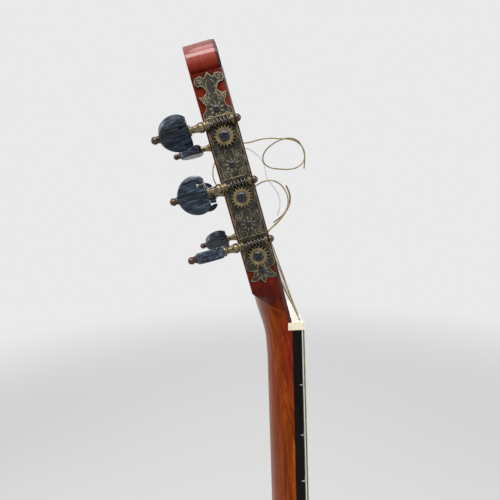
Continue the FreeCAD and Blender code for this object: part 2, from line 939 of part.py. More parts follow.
def ramp_cutter():
    """The slopes that lead the strings from the nut down into the slots."""
    ramps = []
    face = size("head_face_rise")
    low = size("slot_start") - size("slot_ramp") + size("slot_width") / 2
    high = size("slot_start") + size("slot_width") / 2
    for side in (-1, 1):
        inner = side * (size("slot_inner") + size("slot_width") / 2) - size("slot_width") / 2
        points = [
            Vector(face, inner, low),
            Vector(face, inner, high),
            Vector(face - size("slot_ramp_depth"), inner, high),
            Vector(face, inner, low),
        ]
        ramp = Part.Face(Part.makePolygon(points)).extrude(Vector(0, size("slot_width"), 0))
        ramps.append(ramp)
    return in_head(shaped(Part.makeCompound(ramps), "ramp_cutter"))


# Where the head's own wood meets the faceplate, as an expression.
WOOD_FACE = "sizes.head_face_rise - sizes.faceplate_thickness"


def head_parts(blank):
    """The neck, and the head glued over it on a slanted joint that starts behind the nut."""
    front = size("head_face_rise") - size("faceplate_thickness")
    thick = size("head_thickness") - size("faceplate_thickness")
    wide = size("head_width")
    over = size("overrun")
    glue_length = size("neck_depth") / math.sin(math.radians(size("head_tilt")))
    scarf_low = (front - thick, -wide, -glue_length - over)
    reach = size("head_length") + over
    scarf = in_head(block("scarf_cutter", scarf_low, (wide, wide, reach)))
    neck = cut(blank, scarf, "neck_behind_joint")
    slab = new_body("head_slab")
    edge = flat_sketch(slab, "YZ_Plane", "head_edge", head_outline(), WOOD_FACE)
    pad(slab, edge, "head_pad", "sizes.head_thickness - sizes.faceplate_thickness", reverse=True)
    shoulder_low = size("head_shoulder_start")
    shoulder_high = size("head_shoulder_end")
    profile = [(front, shoulder_low - over), (front, shoulder_low), (front - thick, shoulder_high)]
    profile += [(front - thick - over, shoulder_high), (front - thick - over, shoulder_low - over)]
    shoulder = flat_sketch(slab, "XZ_Plane", "shoulder_edge", polygon(profile))
    pocket(slab, shoulder, "shoulder_cut", "2 * sizes.head_width", middle=True)
    in_head(slab)
    root = common(blank_copy(blank), scarf, "head_root")
    solid = fuse([slab, root], "head_solid")
    nut_room = block("nut_room", (-size("nut_seat_depth"), -wide, 0), (over, wide, size("nut_thickness")))
    face_low = (front, -wide, -size("nut_thickness") / 2)
    face_room = in_head(block("face_room", face_low, (front + over, wide, reach)))
    tools = [nut_room, face_room, slot_cutter(), ramp_cutter(), roller_bores(), screw_bores()]
    head = cut(solid, fuse(tools, "head_tools"), "head_wood")
    return neck, head


def blank_copy(blank):
    """The same blank again, because a boolean's operand belongs to one result."""
    return shaped(blank.Shape.copy(), "neck_blank_copy")


def faceplate_part():
    body = new_body("faceplate_body")
    edge = flat_sketch(body, "YZ_Plane", "faceplate_edge", head_outline(), WOOD_FACE)
    pad(body, edge, "faceplate_pad", "sizes.faceplate_thickness")
    slots = flat_sketch(body, "YZ_Plane", "faceplate_slots", slot_outlines(), WOOD_FACE)
    pocket(body, slots, "faceplate_openings", "sizes.faceplate_thickness", reverse=True)
    in_head(body)
    wide = size("head_width")
    over = size("overrun")
    nut_room = block("face_nut_room", (-over, -wide, -over), (over, wide, size("nut_thickness")))
    ramps = shaped(doc.getObject("ramp_cutter").Shape.copy(), "face_ramp_cutter")
    tools = fuse([nut_room, ramps], "faceplate_tools")
    return keep(cut(body, tools, "faceplate_cut"), "head_faceplate")


# Fingerboard, frets and nut


def fingerboard_part():
    body = new_body("fingerboard_body")
    length = size("fingerboard_length")
    low = board_width(length) / 2
    half = size("nut_width") / 2
    corners = [(-half, 0), (half, 0), (low, -length), (-low, -length)]
    edge = flat_sketch(body, "YZ_Plane", "board_edge", polygon(corners))
    pad(body, edge, "board_pad", "sizes.fingerboard_height")
    place = (0, -size("soundhole_place"))
    hole = circle_sketch(body, "YZ_Plane", "board_end", place, "soundhole_diameter")
    pocket(body, hole, "board_scoop", "sizes.fingerboard_height", reverse=True)
    slots = []
    tang = size("fret_tang_width") / 2
    wide = size("joint_width")
    for number in range(1, int(size("fret_count")) + 1):
        down = -fret_place(number)
        slots += rectangle(-wide, wide, down - tang, down + tang)
    cuts = flat_sketch(body, "YZ_Plane", "fret_slots", slots, "sizes.fingerboard_height")
    pocket(body, cuts, "fret_slot_cuts", "sizes.fret_tang_depth")
    return keep(body, "fingerboard")


def frets_part():
    """Nineteen frets with a round crown and a tang in the fingerboard's slot."""
    made = []
    top = size("fingerboard_height")
    crown = size("fret_crown_width") / 2
    tang = size("fret_tang_width") / 2
    for number in range(1, int(size("fret_count")) + 1):
        down = -fret_place(number)
        half = board_width(-down) / 2
        ridge = Vector(top + size("fret_crown_height"), -half, down)
        right = Vector(top, -half, down + crown)
        corners = [
            Vector(top, -half, down - crown),
            Vector(top, -half, down - tang),
            Vector(top - size("fret_tang_depth"), -half, down - tang),
            Vector(top - size("fret_tang_depth"), -half, down + tang),
            Vector(top, -half, down + tang),
            right,
        ]
        edges = [Part.LineSegment(a, b).toShape() for a, b in zip(corners, corners[1:])]
        edges.append(Part.Arc(right, ridge, corners[0]).toShape())
        made.append(Part.Face(Part.Wire(edges)).extrude(Vector(0, 2 * half, 0)))
    return keep(shaped(Part.makeCompound(made), "fret_set"), "frets")


def nut_blank():
    body = new_body("nut_body")
    seat = -size("nut_seat_depth")
    top = size("nut_height")
    thick = size("nut_thickness")
    profile = [(seat, 0), (top, 0), (top - size("nut_fall"), thick), (seat, thick)]
    edge = flat_sketch(body, "XZ_Plane", "nut_edge", polygon(profile))
    pad(body, edge, "nut_pad", "sizes.nut_width", middle=True)
    return body


# Bridge and saddle


def bridge_front():
    """How far below the nut the bridge's upper edge lies."""
    return saddle_place() - (size("bridge_width") - size("tie_block_width")) / 2


def saddle_place():
    return size("scale_length") + size("saddle_setback")


def bridge_blank():
    body = new_body("bridge_body")
    top = -bridge_front()
    low = top - size("bridge_width")
    wing = size("bridge_wing_height")
    shelf = size("bridge_shelf_height")
    high = size("bridge_block_height")
    tie = low + size("tie_block_width")
    half = size("bridge_length") / 2
    wing_edge = [(0, low), (wing, low), (wing, top), (0, top)]
    edge = flat_sketch(body, "XZ_Plane", "wing_edge", polygon(wing_edge))
    pad(body, edge, "wing_pad", "sizes.bridge_length", middle=True)
    trench = size("bridge_trench")
    saddle = -saddle_place() - size("saddle_thickness")
    block_edge = [(0, low), (high, low), (high, tie), (trench, tie), (trench, saddle)]
    block_edge += [(shelf, saddle), (shelf, top - wing), (wing, top), (0, top)]
    edge = flat_sketch(body, "XZ_Plane", "block_edge", polygon(block_edge))
    pad(body, edge, "block_pad", "sizes.bridge_block_length", middle=True)
    slot = saddle_slot()
    edge = flat_sketch(body, "YZ_Plane", "saddle_slot_edge", slot, "sizes.bridge_shelf_height")
    pocket(body, edge, "saddle_slot", "sizes.saddle_depth")
    return body


def saddle_slot():
    half = size("bridge_block_length") / 2 - size("saddle_thickness")
    middle = -saddle_place()
    thick = size("saddle_thickness") / 2
    return rectangle(-half, half, middle - thick, middle + thick)


def saddle_blank():
    body = new_body("saddle_body")
    start = "sizes.bridge_shelf_height - sizes.saddle_depth"
    edge = flat_sketch(body, "YZ_Plane", "saddle_edge", saddle_slot(), start)
    rise = "sizes.saddle_string_height + sizes.saddle_top_gap"
    pad(body, edge, "saddle_pad", f"{rise} - ({start})")
    return body


# Strings


def string_y(spread, index):
    """Where string number index + 1 lies across a row of six; the first is on the treble side."""
    return size(spread) * (0.5 - index / 5)


def string_lane(side, share):
    """Where a string meets its roller, across the head."""
    return SIDES[side] * (size("slot_inner") + share * size("slot_width"))


def roller_along(post):
    """How far up the head a roller lies. The three share the slot's length evenly."""
    first = size("slot_start") + size("roller_low_gap")
    last = slot_end() - size("roller_top_gap")
    return first + (last - first) * (2 - POSTS.index(post)) / 2


def roller_axis_depth():
    return -size("roller_depth")


def string_main(index):
    """A string from its tie on the bridge, over the saddle and the nut, to its roller."""
    gauge, side, post, share, _ = STRING_SHARES[index]
    thick = size(gauge)
    y = string_y("saddle_string_spread", index)
    rear = -bridge_front() - size("bridge_width")
    behind = rear - thick / 2 - size("running_gap")
    over = size("bridge_block_height") + thick / 2 + size("running_gap")
    hole = size("tie_hole_height")
    tie_front = rear + size("tie_block_width")
    saddle = Vector(size("saddle_string_height"), y, -saddle_place())
    nut = Vector(size("nut_string_height"), string_y("nut_string_spread", index), 0)
    end = roller_touch(nut, gauge, side, post, share)
    points = [
        Vector(over, y, tie_front - size("tie_block_width") / 4),
        Vector(over, y, behind),
        Vector(hole, y, behind),
        Vector(hole, y, tie_front),
        saddle,
        nut,
        end,
    ]
    wrap = ARC_SHARE * (over - hole)
    radii = [wrap, wrap, size("saddle_round"), size("saddle_round"), size("nut_round")]
    return swept(route_wire(points, radii), thick, STRING_CORNERS)


def roller_touch(start, gauge, side, post, share):
    """The point in front of its roller where a string that comes from a place would touch it."""
    frame = head_frame()
    local = frame.inverse().multVec(start)
    reach = size("roller_diameter") / 2 + size(gauge) / 2 + size("string_gap")
    across = local.x - roller_axis_depth()
    along = local.z - roller_along(post)
    distance = math.hypot(across, along)
    turn = math.atan2(across, along) - math.acos(reach / distance)
    touch_x = roller_axis_depth() + reach * math.sin(turn)
    touch_z = roller_along(post) + reach * math.cos(turn)
    return frame.multVec(Vector(touch_x, string_lane(side, share), touch_z))


def strings_parts():
    groups = {"treble_strings": range(0, 3), "bass_strings": range(3, 6)}
    made = {}
    for label, numbers in groups.items():
        tubes = [string_main(index) for index in numbers]
        made[label] = keep(shaped(Part.makeCompound(tubes), label + "_set"), label)
    return made


def grooved(blank, strings, label):
    """A blank with the strings' own grooves and holes cut into it."""
    tubes = [solid for thing in strings.values() for solid in thing.Shape.Solids]
    tool = shaped(Part.makeCompound(tubes), label + "_string_room")
    return keep(cut(blank, tool, label + "_grooved"), label)


def winding_part(index):
    """The turns of a string on its roller: one unbroken tube of half turns."""
    gauge, side, post, share, way = STRING_SHARES[index]
    thick = size(gauge)
    step = thick + size("winding_space")
    radius = size("roller_diameter") / 2 + thick / 2 + size("running_gap")
    outward = SIDES[side] * way
    start = string_lane(side, share) + outward * (thick + size("string_gap") + size("running_gap"))
    centre = Vector(roller_axis_depth(), start, roller_along(post))
    halves = int(2 * size("winding_turns"))
    edges = []
    first = coil_point(0, radius, step, outward)
    run = coil_tangent(0, radius, step, outward) * thick
    edges.append(Part.LineSegment(first - run, first).toShape())
    for half in range(halves):
        edges += biarc(
            coil_point(half / 2, radius, step, outward),
            coil_tangent(half / 2, radius, step, outward),
            coil_point((half + 1) / 2, radius, step, outward),
            coil_tangent((half + 1) / 2, radius, step, outward),
        )
    last = coil_point(halves / 2, radius, step, outward)
    run = coil_tangent(halves / 2, radius, step, outward) * thick
    edges.append(Part.LineSegment(last, last + run).toShape())
    coil = swept(Part.Wire(edges), thick, WINDING_CORNERS)
    coil.translate(centre)
    print(f"winding {side} {post}: least gap between turns {coil_gap(radius, step, thick):.3f} mm")
    label = f"string_winding_{side}_{post}"
    return keep(in_head(shaped(coil, label + "_coil")), label)


def coil_point(turns, radius, step, outward):
    """A point of a coil about the Y axis that starts in front of it and runs up over it."""
    angle = 2 * math.pi * turns
    return Vector(radius * math.cos(angle), outward * step * turns, radius * math.sin(angle))


def coil_tangent(turns, radius, step, outward):
    angle = 2 * math.pi * turns
    run = Vector(-radius * math.sin(angle), outward * step / (2 * math.pi), radius * math.cos(angle))
    return run.normalize()


COIL_SAMPLES = 96


def coil_gap(radius, step, thick):
    """The least gap between a coil's own turns, measured on points of its middle line."""
    own = coil_point(0, radius, step, 1)
    shares = [place / COIL_SAMPLES for place in range(COIL_SAMPLES + 1)]
    near = [coil_point(0.5 + share, radius, step, 1) for share in shares]
    return min(own.distanceToPoint(point) for point in near) - thick


def biarc(start, start_run, end, end_run):
    """Two arcs that leave a point and reach another along given directions."""
    gap = end - start
    both = start_run + end_run
    square = 2 * (1 - start_run.dot(end_run))
    along = gap.dot(both)
    reach = (-along + math.sqrt(along**2 + square * gap.dot(gap))) / square
    first = start + start_run * reach
    second = end - end_run * reach
    joint = (first + second) * 0.5
    edges = []
    for one, corner, other in ((start, first, joint), (joint, second, end)):
        back = (one - corner).normalize()
        ahead = (other - corner).normalize()
        turn = math.pi - back.getAngle(ahead)
        radius = (one - corner).Length / math.tan(turn / 2)
        middle = corner + (back + ahead).normalize() * (radius / math.cos(turn / 2) - radius)
        edges.append(Part.Arc(one, middle, other).toShape())
    return edges


# Tuning machines


def plate_face():
    return size("head_width") / 2 + size("plate_thickness")


def worm_plane():
    """How far from the centre line the worms and gears turn."""
    return size("head_width") / 2 + size("gear_plane")


def plate_middle():
    return size("head_face_rise") - size("head_thickness") / 2


# The plate's edge from the finial to the lower tip on one side: places along the plate, as shares of
# its length from the lower tip, and across it, as shares of its width. A pair is an arc.
PLATE_EDGE_SHARES = [
    ((0.984, 0.09), (0.975, 0.17)),
    ((0.988, 0.24), (0.987, 0.33)),
    ((0.966, 0.49), (0.944, 0.4)),
    ((0.944, 0.3), (0.929, 0.22)),
    ((0.912, 0.2), (0.906, 0.26)),
    ((0.899, 0.33), (0.907, 0.47)),
    ((0.884, 0.42), (0.865, 0.33)),
    ((0.843, 0.35), (0.829, 0.47)),
    ((0.815, 0.5),),
    ((0.108, 0.5),),
    ((0.074, 0.42), (0.072, 0.29)),
    ((0.05, 0.34), (0.032, 0.48)),
    ((0.018, 0.28), (0.03, 0.14)),
    ((0.016, 0.08), (0, 0)),
]
PLATE_SCREW_SHARES = [0.836, 0.58, 0.296, 0.064]


def plate_point(share, side):
    low = roller_along("lower") - size("plate_low_reach")
    high = roller_along("upper") + size("plate_top_reach")
    return plate_middle() + side * share[1] * size("plate_width"), low + share[0] * (high - low)


def plate_outline():
    """The plate's edge in X and Z of the head's frame: down one side and up the other."""
    return curves(plate_point((1, 0), 1), there_and_back(PLATE_EDGE_SHARES, (1, 0), plate_point))


def plate_part(name):
    """A machine plate with two ears for each worm, drawn for one side and placed on its own."""
    side = SIDES[name]
    body = new_body(f"plate_{name}_body")
    along = f"{-side} * sizes.head_width / 2"
    edge = flat_sketch(body, "XZ_Plane", f"plate_{name}_edge", plate_outline(), along)
    pad(body, edge, f"plate_{name}_pad", "sizes.plate_thickness", reverse=side > 0)
    for post in POSTS:
        plate_ears(body, name, post)
    holes = []
    for share in PLATE_SCREW_SHARES:
        place = Vector(*plate_point((share, 0), side), 0)
        holes.append(Part.Circle(place, Vector(0, 0, 1), size("plate_screw_shank") / 2))
    for post in POSTS:
        place = Vector(roller_axis_depth(), roller_along(post), 0)
        bore = size("roller_spigot_diameter") / 2 + size("running_gap")
        holes.append(Part.Circle(place, Vector(0, 0, 1), bore))
    drilled = flat_sketch(body, "XZ_Plane", f"plate_{name}_holes", holes, along)
    pocket(body, drilled, f"plate_{name}_drill", "sizes.plate_thickness", reverse=side < 0)
    return keep(in_head(body), f"tuner_plate_{name}")


def plate_ears(body, name, post):
    """The two ears that hold a worm, with their bores."""
    side = SIDES[name]
    worm = roller_along(post) + size("worm_distance")
    half = size("ear_width") / 2
    root = side * (plate_face() - size("plate_thickness") / 2)
    middle = side * worm_plane()
    steps = [
        ((middle, worm - half),),
        ((middle + side * half, worm), (middle, worm + half)),
        ((root, worm + half),),
    ]
    for number, start in enumerate(("-sizes.ear_front", "-sizes.ear_front - sizes.ear_spacing")):
        tag = f"{name}_{post}_{number}"
        shape = curves((root, worm - half), steps)
        edge = flat_sketch(body, "YZ_Plane", f"ear_{tag}", shape, start)
        pad(body, edge, f"ear_pad_{tag}", "sizes.ear_thickness", reverse=True)
        bore = size("worm_shaft_diameter") / 2 + size("running_gap")
        hole = [Part.Circle(Vector(middle, worm, 0), Vector(0, 0, 1), bore)]
        drilled = flat_sketch(body, "YZ_Plane", f"ear_hole_{tag}", hole, start)
        pocket(body, drilled, f"ear_bore_{tag}", "sizes.ear_thickness")


def ear_front_face():
    return -size("ear_front")


def ear_rear_face():
    """The front face of the ear nearer the button."""
    return ear_front_face() - size("ear_spacing")


def screw_places(name):
    """Where the plate's screws stand, in X and Z of the head's frame."""
    return [plate_point((share, 0), SIDES[name]) for share in PLATE_SCREW_SHARES]


def plate_screws_part():
    """Eight round-headed screws, with shanks in the head's wood."""
    made = []
    for name, side in SIDES.items():
        for place in screw_places(name):
            screw = round_screw("plate_screw")
            seat = Vector(place[0], side * plate_face(), place[1])
            screw.Placement = axis_placement(seat, Vector(0, side, 0), Vector(1, 0, 0))
            made.append(screw)
    return keep(in_head(shaped(Part.makeCompound(made), "screw_set")), "plate_screws")


def round_screw(kind):
    """A domed head above Z = 0 and a shank below it."""
    radius = size(kind + "_diameter") / 2
    rise = size(kind + "_height")
    thin = size(kind + "_shank") / 2
    low = -size(kind + "_length")
    dome = [(wide * radius, high * rise) for wide, high in DOME_SHARES]
    return turned([(0, low), (thin, low), (thin, 0), (radius, 0)] + dome + [(0, rise)])


# A dome's bends as shares of its radius and of its rise, and the corners of a small turned piece.
DOME_SHARES = [(0.8, 0.5), (0.42, 0.88)]
TURNED_CORNERS = 12


def turned(profile):
    """A small many-sided piece about Z, from (radius, place) points that start and end on Z."""
    rings = []
    for radius, place in profile:
        if radius == 0:
            rings.append([Vector(0, 0, place)])
            continue
        turns = [2 * math.pi * corner / TURNED_CORNERS for corner in range(TURNED_CORNERS)]
        rings.append([Vector(radius * math.cos(a), radius * math.sin(a), place) for a in turns])
    faces = []
    for near, far in zip(rings, rings[1:]):
        for corner in range(TURNED_CORNERS):
            after = (corner + 1) % TURNED_CORNERS
            loop = [near[corner % len(near)], near[after % len(near)]]
            loop += [far[after % len(far)], far[corner % len(far)]]
            faces.append(flat_face(loop))
    return closed(faces).removeSplitter()


def flat_face(loop):
    """A flat face round three or four points, of which neighbours may coincide."""
    points = [point for index, point in enumerate(loop) if point != loop[index - 1]]
    return Part.Face(Part.makePolygon(points + [points[0]]))


def closed(faces):
    """The solid inside a closed set of faces, turned the right way out."""
    solid = Part.Solid(Part.Shell(faces))
    if solid.Volume < 0:
        solid.reverse()
    return solid


def screw_bores():
    """The holes of the plate screws in the head's wood."""
    tools = []
    wood = size("head_width") / 2
    depth = size("plate_screw_length") - size("plate_thickness")
    for name, side in SIDES.items():
        for place in screw_places(name):
            start = Vector(place[0], side * wood, place[1])
            radius = size("plate_screw_shank") / 2
            tools.append(Part.makeCylinder(radius, depth, start, Vector(0, -side, 0)))
    return in_head(shaped(Part.makeCompound(tools), "screw_bores"))


def roller_bores():
    """The rails' clear holes and the web's bearing holes for the rollers."""
    tools = []
    wood = size("head_width") / 2
    inner = size("slot_inner")
    middle = inner + size("slot_width") / 2
    for side in SIDES.values():
        for post in POSTS:
            out = Vector(0, side, 0)
            wide = size("roller_diameter") / 2 + size("side_gap")
            start = Vector(roller_axis_depth(), side * middle, roller_along(post))
            length = wood - middle + size("overrun")
            tools.append(Part.makeCylinder(wide, length, start, out))
            pivot = size("roller_pivot_diameter") / 2 + size("running_gap")
            low = inner - size("roller_pivot_length") - size("side_gap")
            start = Vector(roller_axis_depth(), side * low, roller_along(post))
            tools.append(Part.makeCylinder(pivot, inner - low + size("side_gap"), start, out))
    return in_head(shaped(Part.makeCompound(tools), "roller_bores"))


def roller_part(name, post):
    """A string roller: a pivot in the web, the barrel, and a spigot through the plate."""
    inner = size("slot_inner")
    wood = size("head_width") / 2
    barrel = size("roller_diameter") / 2
    pivot = size("roller_pivot_diameter") / 2
    spigot = size("roller_spigot_diameter") / 2
    gap = size("side_gap")
    top = worm_plane() + size("gear_thickness") / 2
    low = inner - size("roller_pivot_length")
    profile = [(0, low), (pivot, low), (pivot, inner + gap), (barrel, inner + gap)]
    profile += [(barrel, wood - gap), (spigot, wood - gap), (spigot, top), (0, top)]
    body = new_body(f"roller_{name}_{post}_body")
    edge = flat_sketch(body, "XZ_Plane", f"roller_{name}_{post}_profile", polygon(profile))
    turned = body.newObject("PartDesign::Revolution", f"roller_{name}_{post}_turned")
    turned.Profile = edge
    turned.ReferenceAxis = (edge, ["V_Axis"])
    centre = Vector(0, winding_middle(name, post), 0)
    string_hole = Part.Circle(centre, Vector(0, 0, 1), size("roller_hole_diameter") / 2)
    hole = flat_sketch(body, "XZ_Plane", f"roller_{name}_{post}_hole", [string_hole])
    pocket(body, hole, f"roller_{name}_{post}_cross", "2 * sizes.roller_diameter", middle=True)
    bore = [Part.Circle(Vector(0, 0, 0), Vector(0, 0, 1), size("gear_screw_shank") / 2)]
    end = "sizes.head_width / 2 + sizes.gear_plane + sizes.gear_thickness / 2"
    drilled = flat_sketch(body, "XY_Plane", f"roller_{name}_{post}_bore", bore, end)
    depth = "sizes.gear_screw_length + sizes.running_gap"
    pocket(body, drilled, f"roller_{name}_{post}_tapped", depth)
    place = Vector(roller_axis_depth(), 0, roller_along(post))
    body.Placement = axis_placement(place, Vector(0, SIDES[name], 0), Vector(1, 0, 0))
    return keep(in_head(body), f"roller_{name}_{post}")


def winding_middle(name, post):
    """Where the roller's string hole lies, beside the start of the winding."""
    for gauge, side, roller, share, way in STRING_SHARES:
        if (side, roller) == (name, post):
            return size("slot_inner") + share * size("slot_width") - way * size("roller_hole_diameter")
    return size("slot_inner")


def gear_outline(turn):
    """The toothed edge of a gear: straight flanks, with the backlash taken off each tooth."""
    teeth = int(size("gear_teeth"))
    module = size("gear_pitch")
    pitch = teeth * module / 2
    tip = pitch + module
    root = pitch - DEDENDUM_SHARE * module
    tooth = math.pi / teeth - size("gear_backlash") / (2 * pitch)
    lean = math.tan(math.radians(PRESSURE_ANGLE))
    points = []
    for index in range(teeth):
        middle = 2 * math.pi * index / teeth + turn
        for radius, side in ((root, -1), (tip, -1), (tip, 1), (root, 1)):
            half = tooth / 2 - (radius - pitch) * lean / pitch
            angle = middle + side * half
            points.append(Vector(radius * math.cos(angle), radius * math.sin(angle), 0))
    return points


DEDENDUM_SHARE = 1.25
PRESSURE_ANGLE = 20


def lead_angle():
    """The slope of the worm's thread at its pitch line."""
    worm_pitch = size("worm_distance") - int(size("gear_teeth")) * size("gear_pitch") / 2
    return math.atan(size("gear_pitch") / (2 * worm_pitch))


def gear_solid():
    """A gear about Z whose teeth lean by the worm's lead angle, on its hub."""
    teeth = int(size("gear_teeth"))
    pitch = teeth * size("gear_pitch") / 2
    thick = size("gear_thickness")
    twist = thick * math.tan(lead_angle()) / pitch
    rings = []
    for place in (-0.5, 0.5):
        points = gear_outline(math.pi / 2 + place * twist)
        points.append(points[0])
        ring = Part.makePolygon(points)
        ring.translate(Vector(0, 0, place * thick))
        rings.append(ring)
    toothed = Part.makeLoft(rings, True, True)
    hub_low = plate_face() + size("side_gap") - worm_plane()
    hub_length = -thick / 2 - hub_low
    hub = Part.makeCylinder(size("gear_hub_diameter") / 2, hub_length, Vector(0, 0, hub_low))
    bore_length = thick / 2 - hub_low
    bore = Part.makeCylinder(size("roller_spigot_diameter") / 2, bore_length, Vector(0, 0, hub_low))
    return toothed.fuse(hub).cut(bore)


def gear_part(name, post, toothed, screw):
    """A gear on its roller's spigot, with the screw that holds it."""
    side = SIDES[name]
    seat = screw.copy()
    seat.translate(Vector(0, 0, size("gear_thickness") / 2))
    both = Part.makeCompound([toothed.copy(), seat])
    place = Vector(roller_axis_depth(), side * worm_plane(), roller_along(post))
    turned = axis_placement(place, Vector(0, side, 0), Vector(1, 0, 0))
    thing = shaped(both, f"gear_{name}_{post}_pair", turned)
    return keep(in_head(thing), f"gear_{name}_{post}")


def worm_solid():
    """The worm and its shaft about Z, with Z = 0 at the gear's axis and the button behind."""
    axis = -roller_axis_depth()
    gap = size("side_gap")
    low = ear_rear_face() + axis + gap
    high = ear_front_face() - size("ear_thickness") + axis - gap
    return shaft_solid(low, high).fuse(threaded_core(low, high))


THREAD_STEPS = 10


def threaded_core(low, high):
    """The worm as one closed skin of flat faces: root, flanks and tip from each step to the next."""
    module = size("gear_pitch")
    lead = math.pi * module
    pitch = size("worm_distance") - int(size("gear_teeth")) * module / 2
    tip = pitch + module
    root = pitch - DEDENDUM_SHARE * module - size("running_gap")
    start = math.ceil(((low + high) - size("worm_length")) / 2 / lead) * lead
    turns = math.floor(((low + high + size("worm_length")) / 2 - start) / lead * 2) / 2
    half = lead / 4 - size("gear_backlash") / 4
    lean = math.tan(math.radians(PRESSURE_ANGLE))
    wide = half + (pitch - root) * lean
    narrow = half - module * lean
    last = int(turns * THREAD_STEPS)

    def helix(reach, offset):
        return [thread_point(number, reach, start, offset) for number in range(last + 1)]

    foot = helix(root, -wide)
    lower = helix(tip, -narrow)
    upper = helix(tip, narrow)
    back = helix(root, wide)
    bottom = [thread_point(number, root, 0, 0, low) for number in range(THREAD_STEPS)]
    top = [thread_point(number, root, 0, 0, high) for number in range(THREAD_STEPS)]
    loops = [bottom, top]
    for number in (0, last):
        loops.append([foot[number], lower[number], upper[number], back[number]])
    for here in range(last):
        after = here + 1
        loops.append([foot[here], foot[after], lower[after]])
        loops.append([foot[here], lower[after], lower[here]])
        loops.append([lower[here], lower[after], upper[after], upper[here]])
        loops.append([upper[here], upper[after], back[after]])
        loops.append([upper[here], back[after], back[here]])
    for here in range(last - THREAD_STEPS):
        above = here + THREAD_STEPS
        loops.append([back[here], back[here + 1], foot[above + 1], foot[above]])
    for here in range(THREAD_STEPS):
        after = (here + 1) % THREAD_STEPS
        closing = [foot[0], back[0]] if after == 0 else []
        loops.append([bottom[here], bottom[after]] + closing + [foot[here + 1], foot[here]])
        upward = last - THREAD_STEPS + here
        closing = [back[last], foot[last]] if here == 0 else []
        ends = [top[(upward + 1) % THREAD_STEPS], top[upward % THREAD_STEPS]]
        loops.append([back[upward], back[upward + 1]] + ends + closing)
    return closed([flat_face(loop) for loop in loops])


def thread_point(number, reach, start, offset, place=None):
    """A point of a helix about Z, or of the ring under it at a fixed place."""
    angle = 2 * math.pi * number / THREAD_STEPS
    rise = start + math.pi * size("gear_pitch") * number / THREAD_STEPS + offset
    height = rise if place is None else place
    return Vector(reach * math.cos(angle), reach * math.sin(angle), height)


def shaft_solid(low, high):
    """The turned shaft: ball, a journal at each end of the worm, ring, baluster, and rear ball."""
    axis = -roller_axis_depth()
    thin = size("worm_shaft_diameter") / 2
    gap = size("side_gap")
    ball = size("shaft_ball_diameter") / 2
    front = ear_front_face() + gap + axis
    rear = ear_rear_face() - size("ear_thickness") - gap + axis
    ring = rear - size("shaft_ring_length")
    bulge = ring - BALUSTER_SHARE * size("baluster_length")
    waist = ring - size("baluster_length")
    flange = waist - size("shaft_flange_length")
    button = flange - size("button_length")
    washer = button - size("shaft_flange_length")
    wide = size("baluster_diameter") / 2
    slim = size("baluster_waist") / 2
    disc = size("shaft_flange_diameter") / 2
    collar = size("shaft_ring_diameter") / 2
    lean = math.asin(thin / ball)
    front_ball = front + ball * math.cos(lean)
    rear_ball = washer - ball * math.cos(lean)
    bends = [lean + (math.pi - lean) * share for share in BALL_SHARES]
    bead = [(ball * math.sin(bend), ball * math.cos(bend)) for bend in bends]
    slope = size("baluster_length") * HOLLOW_SHARE
    front_end = [(0, front), (thin, front)]
    front_end += [(wide_at, front_ball - high) for wide_at, high in bead]
    front_end += [(0, front_ball + ball)]
    rear_end = [(0, rear_ball - ball)]
    rear_end += [(wide_at, rear_ball + high) for wide_at, high in reversed(bead)]
    rear_end += [(thin, washer), (disc * BALL_WASHER_SHARE, washer), (disc * BALL_WASHER_SHARE, button)]
    rear_end += [(thin, button), (thin, flange), (disc, flange), (disc, waist), (slim, waist)]
    rear_end += [((slim + wide) / 2, bulge - slope), (wide, bulge), ((slim + wide) / 2, ring)]
    rear_end += [(collar, ring), (collar, rear), (0, rear)]
    rear_journal = Part.makeCylinder(thin, low - rear, Vector(0, 0, rear))
    front_journal = Part.makeCylinder(thin, front - high, Vector(0, 0, high))
    return rear_journal.fuse([front_journal, turned(front_end), turned(rear_end)])


# Where a ball's profile bends, from its shaft to its pole.
BALL_SHARES = [0.26, 0.52, 0.78]
# The washer's width as a share of the flange's, where the baluster is widest, and how long the bend
# of its hollow side is, as shares of its length.
BALL_WASHER_SHARE = 0.7
BALUSTER_SHARE = 0.2
HOLLOW_SHARE = 0.25


def worm_placement(name, post):
    """The worm's frame: Z to the front of the head and X up the head."""
    along = roller_along(post) + size("worm_distance")
    place = Vector(roller_axis_depth(), SIDES[name] * worm_plane(), along)
    return axis_placement(place, Vector(1, 0, 0), Vector(0, 0, 1))


def worm_part(name, post, solid):
    thing = shaped(solid.copy(), f"worm_{name}_{post}_solid", worm_placement(name, post))
    return keep(in_head(thing), f"worm_shaft_{name}_{post}")


def button_start():
    """Where the button's flat edge lies, along the shaft from the gear's axis."""
    rear = ear_rear_face() - size("ear_thickness") - size("side_gap") - roller_axis_depth()
    return rear - size("shaft_ring_length") - size("baluster_length") - size("shaft_flange_length")


# The same place as an expression.
BUTTON_START = (
    "sizes.roller_depth - sizes.ear_front - sizes.ear_spacing - sizes.ear_thickness - sizes.side_gap"
    " - sizes.shaft_ring_length - sizes.baluster_length - sizes.shaft_flange_length"
)

# How far each button is turned about its shaft at rest, as a share of a whole turn.
BUTTON_TURN_SHARES = {
    ("bass", "upper"): 0.135,
    ("bass", "middle"): 0.045,
    ("bass", "lower"): 0.235,
    ("treble", "upper"): 0.25,
    ("treble", "middle"): 0,
    ("treble", "lower"): 0.14,
}


